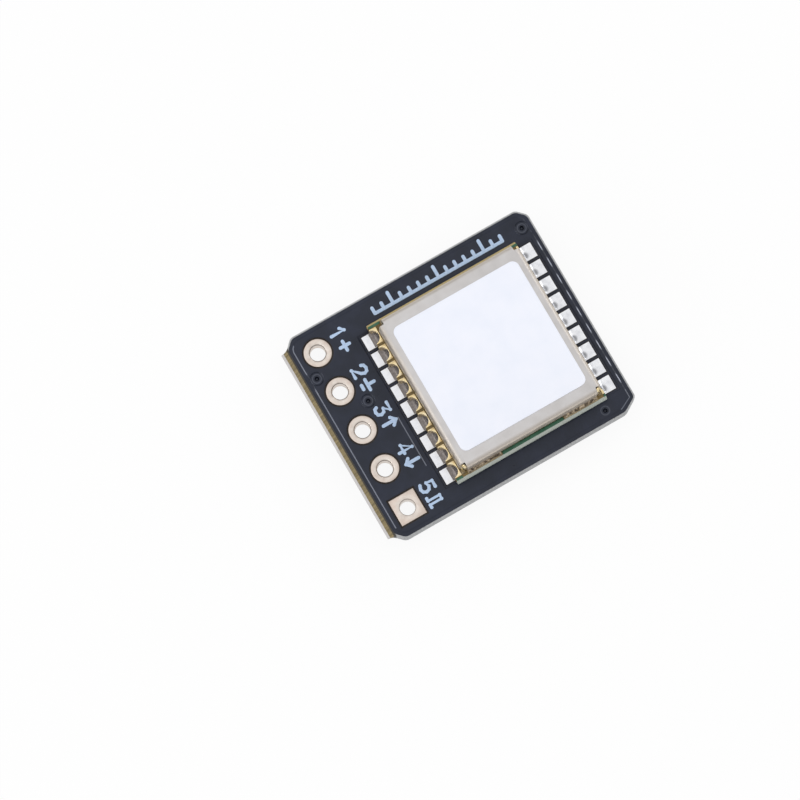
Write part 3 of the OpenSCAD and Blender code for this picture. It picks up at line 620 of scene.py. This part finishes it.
# %% [markdown]
# ## Soft copies of the boards, pads and underside parts
# The green film, the module's gold and the small parts below the board get the same treatment with a width
# that suits each: a film's edge is a few hundredths of a millimetre round, a moulded case a little more.

# %% Soft copies


def narrow_mouth(work):
    """Draw the hole of the square pad in to the lip of the round ones."""
    for vert in work.verts:
        out = (vert.co - Vector(pin_mids[-1] * MM)) * Vector((1, 1, 0))
        if out.length < (LIP_R + LIP_SOFT_MM) * MM:
            vert.co -= out * (1 - LIP_R * MM / out.length)


SOFT = {
    "green_film": ("module_solder_mask", green_mask, 0.006),
    "scored_module_laminate": ("module_board", module_laminate, 0.015),
    "snapped_board_laminate": ("printed_board", laminate, 0.02, round_corners),
    "near_half_hole_pads": ("near_castellations", module_gold, 0.01),
    "far_half_hole_pads": ("far_castellations", module_gold, 0.01),
    "near_solder_climbs": ("near_solder_joints", joint_solder, 0.012),
    "far_solder_climbs": ("far_solder_joints", domed_tin, 0.012),
    "can_foot_pads": ("can_ground_pads", stained_gold, 0.01),
    "square_pin_pad": ("pin_eyelet_5", pad_gold, 0.015, narrow_mouth),
    "regulator_case": ("regulator_body", moulded_black, 0.05),
    "regulator_legs": ("regulator_leads", plated_tin, 0.03),
    "socket_body": ("socket_insulator", white_insulator, 0.04),
    "socket_ring": ("socket_shell", socket_gold, 0.025),
    "socket_middle": ("socket_contact", socket_gold, 0.02),
    "lamp_plate": ("lamp_base", white_insulator, 0.02),
    "lamp_caps": ("lamp_ends", socket_gold, 0.02),
    "lamp_cover": ("lamp_lens", lamp_resin, 0.03),
}
CHIPS = {
    "input_capacitor": tan_ceramic, "output_capacitor": tan_ceramic, "antenna_capacitor": tan_ceramic,
    "antenna_choke": blue_ferrite, "lamp_resistor": black_glaze, "transmit_resistor": black_glaze,
    "receive_resistor": black_glaze,
}
CORE_EDGE_MM, CAP_EDGE_MM = 0.02, 0.03
for name, (node, material, width, *reshape) in SOFT.items():
    softened(node, name, material, width, *reshape)
for chip, material in CHIPS.items():
    softened(chip, chip + "_core", material, CORE_EDGE_MM)
    softened(chip + "_ends", chip + "_caps", plated_tin, CAP_EDGE_MM)
print(len(SOFT) + 2 * len(CHIPS), "soft copies")

# %% [markdown]
# ## Growing pieces with Geometry Nodes
# Pads, lands and beads repeat along the board, and ink follows a drawn path. A geometry tree describes each
# of them once, with named inputs for its sizes. One helper makes an empty tree, one ends it, and one runs it
# on a start mesh, bakes the result to a plain mesh and settles it. Inputs are set by their identifiers
# before the first evaluation.

# %% Tree and growing helpers
LENGTH, WHOLE, PLACE, STUFF = "NodeSocketFloat", "NodeSocketInt", "NodeSocketVector", "NodeSocketMaterial"


def empty_tree(name, **sockets):
    """A geometry tree with named inputs. Gives the tree and the sockets of its input node."""
    tree = bpy.data.node_groups.new(name, "GeometryNodeTree")
    tree.interface.new_socket("Geometry", in_out="OUTPUT", socket_type="NodeSocketGeometry")
    tree.interface.new_socket("Geometry", in_out="INPUT", socket_type="NodeSocketGeometry")
    for label, kind in sockets.items():
        tree.interface.new_socket(label, in_out="INPUT", socket_type=kind)
    tree.interface.new_socket("Material", in_out="INPUT", socket_type=STUFF)
    return tree, add(tree, "GroupInput").outputs


def close_tree(tree, given, geometry):
    """End a tree: real meshes instead of instances, and the material."""
    real = add(tree, "RealizeInstances", [geometry])
    dressed = add(tree, "SetMaterial", {"Geometry": real, "Material": given["Material"]})
    add(tree, "GroupOutput", [dressed])


def grown(name, tree, start_mesh, material, node_names=(), slot_name=None, **values):
    """Run a tree on a start mesh, bake the result with its faces turned outwards, and settle it."""
    start = placed(name + "_start", start_mesh)
    modifier = start.modifiers.new("grow", "NODES")
    modifier.node_group = tree
    values["Material"] = material
    for socket in tree.interface.items_tree:
        if socket.in_out == "INPUT" and socket.name in values:
            modifier[socket.identifier] = values[socket.name]
    piece = baked(start, name)
    work = bmesh.new()
    work.from_mesh(piece.data)
    bmesh.ops.remove_doubles(work, verts=work.verts, dist=WELD / 10)
    bmesh.ops.recalc_face_normals(work, faces=work.faces)
    work.to_mesh(piece.data)
    work.free()
    print(name, len(piece.data.polygons), "faces")
    return settle(piece, material, node_names)


def polylines(name, lines):
    """A mesh of bare edges. Each line is a list of points in millimetres."""
    points, edges = [], []
    for line in lines:
        edges += [(len(points) + i, len(points) + i + 1) for i in range(len(line) - 1)]
        points += [[v * MM for v in p] for p in line]
    mesh = bpy.data.meshes.new(name)
    mesh.from_pydata(points, edges, [])
    return mesh


print("growing helpers ready")

# %% [markdown]
# ## Round pin pads
# Each round pad is one piece of plated copper: a pad on both faces, joined by a barrel. The plating is
# slightly dished towards the hole, which gives the rings of shade round it, and it is thickest at the mouth,
# where it makes a low lip. A turned shape is a profile swept along a circle, so the start mesh is the
# profile as a closed loop, and the tree sweeps it and sets the result on a line of points. In Curve to
# Mesh, a profile's X points out from the circle and its Y points down.

# %% Profile of an eyelet, as radius and depth below the pad's top
pad_low, pad_high = span("pin_eyelet_1")
PAD_R, HALF_H = (pad_high[0] - pad_low[0]) / 2, (pad_high[2] - pad_low[2]) / 2
HOLE_R, BARREL_R, FOIL_T = 0.5, 0.53, 0.04
DISH = [(PAD_R, 0.018), (PAD_R - 0.006, 0.006), (PAD_R - 0.025, 0), (0.68, 0.001), (0.6, 0.006),
        (0.54, 0.012), (0.51, 0.022), (0.48, 0.045), (LIP_R + 0.006, 0.07), (LIP_R, 0.1), (0.47, 0.16),
        (HOLE_R, 0.25)]
upper = [(BARREL_R, HALF_H - FOIL_T), (PAD_R, HALF_H - FOIL_T)] + [(r, HALF_H - drop) for r, drop in DISH]
loop = upper + [(r, -z) for r, z in reversed(upper)]
profile_mesh = polylines("eyelet_profile", [[(r - PAD_R, -z, 0) for r, z in loop + loop[:1]]])
print("profile of", len(loop), "points")

# %% Eyelets


def in_a_row(tree, given, shape):
    """A shape on each point of a line, by the inputs Count, First and Step."""
    places = add(tree, "MeshLine", {
        "Count": given["Count"], "Start Location": given["First"], "Offset": given["Step"]}, mode="OFFSET")
    return add(tree, "InstanceOnPoints", {"Points": places, "Instance": shape})


tree, given = empty_tree("Turned eyelets", Radius=LENGTH, Facets=WHOLE, Count=WHOLE, First=PLACE, Step=PLACE)
profile = add(tree, "MeshToCurve", {"Mesh": given["Geometry"]})
circle = add(tree, "CurvePrimitiveCircle", {"Resolution": given["Facets"], "Radius": given["Radius"]})
turned = add(tree, "CurveToMesh", {"Curve": circle, "Profile Curve": profile})
close_tree(tree, given, in_a_row(tree, given, turned))
grown("round_pin_pads", tree, profile_mesh, pad_gold, [f"pin_eyelet_{i}" for i in range(1, 5)],
      Radius=PAD_R * MM, Facets=64, Count=4, First=list(pin_mids[0] * MM),
      Step=list((pin_mids[1] - pin_mids[0]) * MM))

# %% [markdown]
# ## Tinned lands
# The lands were tinned and reflowed, so each one is a low cushion of metal. Near the pin row the coat is thin
# and flat. On the far side it is thicker and domed. A grid is extruded and its top raised by a crown that
# falls to nothing at the sides. A little noise keeps nine cushions from looking alike.

# %% Cushion tree
FADE_MM = 0.05
tree, given = empty_tree("Tinned lands", Length=LENGTH, Width=LENGTH, Base=LENGTH, Crown=LENGTH,
                         Flatness=LENGTH, Ripple=LENGTH, Grain=LENGTH, Seed=LENGTH, Count=WHOLE, First=PLACE,
                         Step=PLACE)
plate = add(tree, "MeshGrid", {
    "Size X": given["Length"], "Size Y": given["Width"], "Vertices X": 21, "Vertices Y": 15})
slab = add(tree, "ExtrudeMesh", {
    "Mesh": plate, "Offset": (0, 0, 1), "Offset Scale": given["Base"], "Individual": False})
spot = add(tree, "SeparateXYZ", [add(tree, "InputPosition")])
height = given["Crown"]
for axis, size in (("X", "Length"), ("Y", "Width")):
    across = add(tree, "Math", [spot.outputs[axis], given[size]], operation="DIVIDE")
    twice = add(tree, "Math", [across, 2.0], operation="MULTIPLY")
    steep = add(tree, "Math", [twice, given["Flatness"]], operation="POWER")
    fall = add(tree, "Math", [1.0, steep], operation="SUBTRACT")
    height = add(tree, "Math", [height, fall], operation="MULTIPLY")
lift = add(tree, "CombineXYZ", {"Z": height})
crowned = add(tree, "SetPosition", {"Geometry": slab, "Selection": slab.outputs["Top"], "Offset": lift})
joined = add(tree, "JoinGeometry", [crowned])
tree.links.new(add(tree, "FlipFaces", {"Mesh": plate}).outputs[0], joined.inputs[0])
cushion = add(tree, "MergeByDistance", {"Geometry": joined, "Distance": WELD})
row = add(tree, "RealizeInstances", [in_a_row(tree, given, cushion)])
print("one cushion takes", len(tree.nodes), "nodes")

# %% Ripples on the cushions
noise = add(tree, "TexNoise", {"W": given["Seed"], "Scale": given["Grain"], "Detail": 2.0},
            noise_dimensions="4D")
foot = add(tree, "SeparateXYZ", [given["First"]])
above = add(tree, "Math", [spot.outputs["Z"], foot.outputs["Z"]], operation="SUBTRACT")
share = add(tree, "MapRange", [above, given["Base"], FADE_MM * MM, 0.0, 1.0])
swing = add(tree, "Math", [noise, 0.5], operation="SUBTRACT")
ripple = add(tree, "Math", [swing, given["Ripple"]], operation="MULTIPLY")
ripple = add(tree, "Math", [ripple, share], operation="MULTIPLY")
close_tree(tree, given, add(tree, "SetPosition", {
    "Geometry": row, "Offset": add(tree, "CombineXYZ", {"Z": ripple})}))
land_tree = tree
print("land tree has", len(land_tree.nodes), "nodes")

# %% Near and far lands
LAND_GRAIN_MM = 0.35
for side, rows, tin, crown, flatness, ripple in (
        ("near", near_rows, land_tin, 0.012, 4.0, 0.006), ("far", far_rows, domed_tin, 0.055, 2.0, 0.025)):
    low, high = rows[0]
    size = high - low
    first = (low + high) / 2 * (1, 1, 0) + low * (0, 0, 1)
    grown(f"{side}_tinned_lands", land_tree, bpy.data.meshes.new("bare"), tin, [f"{side}_lands"],
          Length=size[0] * MM, Width=size[1] * MM, Base=size[2] * MM, Crown=crown * MM, Flatness=flatness,
          Ripple=ripple * MM, Grain=1 / (LAND_GRAIN_MM * MM), Seed=3.0, Count=len(rows),
          First=list(first * MM), Step=list((rows[1][0] - low) * MM))

# %% [markdown]
# ## Beads of solder along the can
# The can's end walls are soldered down by beads that swell and shrink along their run. A bead is a
# quarter-round profile swept along the corner between wall and pad. Curve to Mesh scales the profile by a
# size at each point of the path, so noise in that size makes the lumps while the corner itself stays put.

# %% Bead tree
BEAD_IN_MM, BEAD_STEP_MM, BEAD_GRAIN_MM, LEAST_SWELL = 0.05, 0.04, 0.35, 0.5
tree, given = empty_tree("Solder beads", Size=LENGTH, Step=LENGTH, Grain=LENGTH, Seed=LENGTH)
drawn = add(tree, "MeshToCurve", {"Mesh": given["Geometry"]})
path = add(tree, "ResampleCurve", {"Curve": drawn, "Length": given["Step"]}, mode="LENGTH")
noise = add(tree, "TexNoise", {"W": given["Seed"], "Scale": given["Grain"], "Detail": 1.0},
            noise_dimensions="4D")
swell = add(tree, "MapRange", [noise, NOISE_LOW, NOISE_HIGH, LEAST_SWELL, 1.0])
radius = add(tree, "Math", [swell, given["Size"]], operation="MULTIPLY")
lumped = add(tree, "SetCurveRadius", {"Curve": path, "Radius": radius})
arc = add(tree, "CurveArc", {"Resolution": 8, "Radius": 1.0, "Start Angle": -math.pi / 2,
                             "Sweep Angle": math.pi / 2, "Connect Center": True})
bead = add(tree, "CurveToMesh", {"Curve": lumped, "Profile Curve": arc, "Scale": radius, "Fill Caps": True})
close_tree(tree, given, bead)
corner_lines, bead_boxes = [], solids("can_solder")
for low, high in bead_boxes:
    front = low[1] < can_mid[1]
    y = high[1] if front else low[1]
    ends = [(low[0] + BEAD_IN_MM, y, low[2]), (high[0] - BEAD_IN_MM, y, low[2])]
    corner_lines.append(ends if front else ends[::-1])
bead_low, bead_high = bead_boxes[0]
grown("can_solder_beads", tree, polylines("bead_paths", corner_lines), foot_solder, ["can_solder"],
      Size=(bead_high[1] - bead_low[1]) * MM, Step=BEAD_STEP_MM * MM, Grain=1 / (BEAD_GRAIN_MM * MM),
      Seed=2.0)

# %% [markdown]
# ## Strokes and spots
# Printed ink follows drawn paths and has round ends, so the tree sweeps a flat oval along each path and sets
# a round spot on every point of it. A bare point gives a spot alone, which also serves for drops.

# %% Ink tree
tree, given = empty_tree("Ink strokes", Width=LENGTH, Thickness=LENGTH)
path = add(tree, "MeshToCurve", {"Mesh": given["Geometry"]})
oval = add(tree, "Transform", {
    "Geometry": add(tree, "CurvePrimitiveCircle", {"Resolution": 12, "Radius": 0.5}),
    "Scale": add(tree, "CombineXYZ", {"X": given["Width"], "Y": given["Thickness"], "Z": 1.0})})
stroke = add(tree, "CurveToMesh", {"Curve": path, "Profile Curve": oval, "Fill Caps": True})
round_scale = add(tree, "CombineXYZ", {"X": given["Width"], "Y": given["Width"], "Z": given["Thickness"]})
spot = add(tree, "Transform", {
    "Geometry": add(tree, "MeshUVSphere", {"Segments": 16, "Rings": 8, "Radius": 0.5}),
    "Scale": round_scale})
spots = add(tree, "InstanceOnPoints", {"Points": given["Geometry"], "Instance": spot})
printed = add(tree, "JoinGeometry", [stroke])
tree.links.new(spots.outputs[0], printed.inputs[0])
close_tree(tree, given, printed)
ink_tree = tree
print("ink tree has", len(ink_tree.nodes), "nodes")

# %% [markdown]
# ## Gold drops in the can's front corners
# The can is cut free at its corners so that it folds. In the two front corners a tall gold drop fills the
# cut: it stands in for the gold pad seen reflected there, a painted reflection, and keeps the deep cut from
# showing as shade. A tall drop is the same round spot that ends a stroke of ink, only wider and far thicker,
# so the ink tree makes the drops from two bare points.

# %% Corner drops
DROP_IN_MM, DROP_MM, DROP_TALL_MM, DROP_DOWN_MM = 0.26, 0.44, 1.24, 0.3
drop_z = can_high[2] - DROP_DOWN_MM - DROP_TALL_MM / 2
drop_xs = (can_low[0] + DROP_IN_MM, can_high[0] - DROP_IN_MM)
drop_points = [[(x, can_low[1] + DROP_IN_MM, drop_z)] for x in drop_xs]
# Painted reflection: gold drops where the cut would otherwise show shade.
grown("corner_drops", ink_tree, polylines("drop_points", drop_points), module_gold, slot_name="gold",
      Width=DROP_MM * MM, Thickness=DROP_TALL_MM * MM)

# %% [markdown]
# ## Film in the vias
# The wet film ran into each via and closed it a little below the mouth, so a via is a shallow dark dimple
# and not a deep hole. A flat drop of film in each bore makes the floor of the dimple, again with the ink
# tree.

# %% Via plugs
PLUG_MM, PLUG_TALL_MM, PLUG_DOWN_MM = 0.29, 0.2, 0.1
plug_z = film_top - PLUG_DOWN_MM - PLUG_TALL_MM / 2
plug_points = [[(mid[0], mid[1], plug_z)] for mid in via_mids]
grown("via_plugs", ink_tree, polylines("plug_points", plug_points), black_mask,
      slot_name=slot_of["top_solder_mask"], Width=PLUG_MM * MM, Thickness=PLUG_TALL_MM * MM)

# %% [markdown]
# ## Printed marks
# Each pin has a plain number and a sign for what it does: plus, ground, arrow out, arrow in and pulse. A
# scale of ticks runs along the back edge. The marks are lists of points on a unit square, so that one size
# sets them all.

# %% Numbers and signs
NUMBERS = [
    [[(0.1, 0.75), (0.35, 1), (0.35, 0)]],
    [[(0, 0.76), (0.08, 0.93), (0.3, 1), (0.52, 0.93), (0.6, 0.74), (0.5, 0.5), (0, 0), (0.6, 0)]],
    [[(0, 1), (0.58, 1), (0.26, 0.6), (0.5, 0.52), (0.6, 0.3), (0.5, 0.07), (0.28, 0), (0.06, 0.06),
      (0, 0.2)]],
    [[(0.45, 0), (0.45, 1), (0, 0.32), (0.62, 0.32)]],
    [[(0.55, 1), (0.08, 1), (0.03, 0.55), (0.3, 0.63), (0.52, 0.52), (0.6, 0.3), (0.5, 0.08), (0.27, 0),
      (0, 0.1)]],
]
SIGNS = [
    [[(0, 0.5), (0.7, 0.5)], [(0.35, 0.15), (0.35, 0.85)]],
    [[(0.4, 1), (0.4, 0.5)], [(0, 0.5), (0.8, 0.5)], [(0.24, 0.1), (0.56, 0.1)]],
    [[(0.35, 0), (0.35, 1)], [(0.05, 0.68), (0.35, 1), (0.65, 0.68)]],
    [[(0.35, 1), (0.35, 0)], [(0.05, 0.32), (0.35, 0), (0.65, 0.32)]],
    [[(0, 0.05), (0.2, 0.05), (0.2, 0.95), (0.5, 0.95), (0.5, 0.05), (0.7, 0.05)]],
]
STROKE_MM, INK_MM, GLYPH_MM, SIGN_AT, SIGN_WIDE, COLUMN_MM = 0.2, 0.024, 0.82, 1.0, 0.7, 1.13
ink_z = film_top + INK_MM / 4
column_x = pin_mids[0][0] + COLUMN_MM
marks = []
for number, sign, mid in zip(NUMBERS, SIGNS, pin_mids):
    shifted = number + [[(a + SIGN_AT, b) for a, b in line] for line in sign]
    start_y = mid[1] + (SIGN_AT + SIGN_WIDE) / 2 * GLYPH_MM
    marks += [[(column_x + b * GLYPH_MM, start_y - a * GLYPH_MM, ink_z) for a, b in line] for line in shifted]
grown("pin_marks", ink_tree, polylines("pin_paths", marks), ink, slot_name="label_film",
      Width=STROKE_MM * MM, Thickness=INK_MM * MM)

# %% Scale of ticks
TICKS, LONG_FIRST, LONG_EVERY = 15, 2, 5
SCALE_LOW_MM, SCALE_HIGH_MM, SCALE_LEFT_MM, SCALE_RIGHT_MM = 0.8, 0.1, 0.85, 0.5
plane_back = span("top_ground_plane")[1][1]
scale_low, scale_high = plane_back - SCALE_LOW_MM, plane_back - SCALE_HIGH_MM
tick_xs = np.linspace(module_low[0] + SCALE_LEFT_MM, module_high[0] - SCALE_RIGHT_MM, TICKS)
ticks = [[(tick_xs[0], scale_low, ink_z), (tick_xs[-1], scale_low, ink_z)]]
for i, x in enumerate(tick_xs):
    top = scale_high if i % LONG_EVERY == LONG_FIRST else (scale_low + scale_high) / 2
    ticks.append([(x, scale_low, ink_z), (x, top, ink_z)])
grown("scale_marks", ink_tree, polylines("scale_paths", ticks), ink, slot_name="label_film",
      Width=STROKE_MM * MM, Thickness=INK_MM * MM)

# %% [markdown]
# ## Carried-over nodes
# Nodes whose shape is already right keep it and only get a finish. The list below names each node once.

# %% Finishes for the carried-over nodes
CARRIED = {
    black_mask: ["bottom_solder_mask"],
    copper_foil: ["top_ground_plane", "bottom_ground_plane"],
    tarnished_copper: ["via_barrels"],
    pad_gold: ["underside_pads"],
    joint_solder: ["underside_solder"],
    can_sheet: ["oscillator_lid", "clock_crystal_lid"],
    moulded_black: ["receiver_chip", "amplifier_chip"],
    plated_tin: ["receiver_contacts", "decoupling_ends"],
    dark_ceramic: ["oscillator_base", "clock_crystal_base"],
    pale_ceramic: ["band_filter"],
    tan_ceramic: ["decoupling_capacitors"],
}
for material, names in CARRIED.items():
    for name in names:
        nodes[name].data.materials.clear()
        nodes[name].data.materials.append(material)
print(sum(len(names) for names in CARRIED.values()), "nodes carried over")

# %% [markdown]
# ## Floor, light and camera
# The board was photographed from almost straight above, on white. The floor is a pale sheet that camera
# and mirror rays see as white, so the holes look through to white, while a little of its own shading keeps
# the shadow. The sky is bright overhead and dimmer towards the horizon, so that sloped metal shades off.
# One broad lamp lights the top, and two low strips on either side catch the edges of the film.

# %% Floor
FLOOR_MM, PAPER_ROUGH, GLOW_SHARE = 400, 0.9, 0.9
floor_mesh = bpy.data.meshes.new("floor")
corners = [(x * FLOOR_MM * MM, y * FLOOR_MM * MM, 0) for x, y in ((-1, -1), (1, -1), (1, 1), (-1, 1))]
floor_mesh.from_pydata(corners, [], [(0, 1, 2, 3)])
floor = placed("floor", floor_mesh)
floor_paper = bpy.data.materials.new("White paper sweep")
floor_paper.use_nodes = True
tree = floor_paper.node_tree
paper = tree.nodes["Principled BSDF"]
paper.inputs["Base Color"].default_value = linear("#f4f4f4")
paper.inputs["Roughness"].default_value = PAPER_ROUGH
rays = add(tree, "LightPath").outputs
seen = rays["Is Camera Ray"]
for kind in ("Is Glossy Ray", "Is Transmission Ray"):
    seen = add(tree, "Math", [seen, rays[kind]], operation="MAXIMUM")
share = add(tree, "Math", [seen, GLOW_SHARE], operation="MULTIPLY")
glow = add(tree, "Emission", {"Color": (1, 1, 1, 1), "Strength": 1.0})
mixed = add(tree, "MixShader", [share, paper, glow])
tree.links.new(mixed.outputs[0], tree.nodes["Material Output"].inputs["Surface"])
floor.data.materials.append(floor_paper)
print("floor", 2 * FLOOR_MM, "mm square")

# %% Sky and lamps
HIGH_UP, HORIZON_LEVEL, OVERHEAD_LEVEL = 0.9, 0.45, 0.95
world = bpy.data.worlds.new("Soft studio")
bpy.context.scene.world = world
world.use_nodes = True
tree = world.node_tree
sky = tree.nodes["Background"]
sky.inputs["Color"].default_value = (1, 1, 1, 1)
direction = add(tree, "SeparateXYZ", [add(tree, "TexCoord").outputs["Generated"]])
gradient = add(tree, "MapRange", [direction.outputs["Z"], 0.0, HIGH_UP, HORIZON_LEVEL, OVERHEAD_LEVEL])
rays = add(tree, "LightPath").outputs
level = add(tree, "Mix", {0: rays["Is Camera Ray"], 2: gradient, 3: 1.0}, data_type="FLOAT")
tree.links.new(level.outputs[0], sky.inputs["Strength"])
LAMPS = {
    "overhead": ((-0.12, 0.1, 0.3), (0.3, 0.3), 0.07),
    "left_strip": ((-0.25, -0.02, 0.13), (0.3, 0.05), 0.16),
    "right_strip": ((0.25, 0.05, 0.13), (0.3, 0.05), 0.16),
}
for name, (place, size, energy) in LAMPS.items():
    lamp = bpy.data.lights.new(name, "AREA")
    lamp.shape = "RECTANGLE"
    lamp.size, lamp.size_y = size
    lamp.energy = energy
    lamp_object = placed(name, lamp)
    lamp_object.location = place
    lamp_object.rotation_euler = (-Vector(place)).to_track_quat("-Z", "Y").to_euler()
print("sky and", len(LAMPS), "lamps")

# %% Camera
AZIMUTH, ELEVATION = math.radians(-30), math.radians(81)
LENS_MM, SENSOR_MM = 200, 36
FIELD_MM = 45.19
TARGET_MM = Vector((-3.56, 0.42, 2.33))
right = Vector((math.cos(AZIMUTH), math.sin(AZIMUTH), 0))
level_up = Vector((-math.sin(AZIMUTH), math.cos(AZIMUTH), 0))
towards_eye = Vector((0, 0, math.sin(ELEVATION))) - level_up * math.cos(ELEVATION)
distance = FIELD_MM * MM * LENS_MM / SENSOR_MM
camera = bpy.data.cameras.new("camera")
camera.lens, camera.sensor_width = LENS_MM, SENSOR_MM
camera.clip_start, camera.clip_end = 0.01, 5
camera_object = placed("camera", camera)
up = towards_eye.cross(right)
turned = Matrix((right, up, towards_eye)).transposed().to_4x4()
turned.translation = TARGET_MM * MM + towards_eye * distance
camera_object.matrix_world = turned
bpy.context.scene.camera = camera_object
bpy.context.scene.view_settings.view_transform = "Standard"
print("camera", round(distance / MM), "mm away")
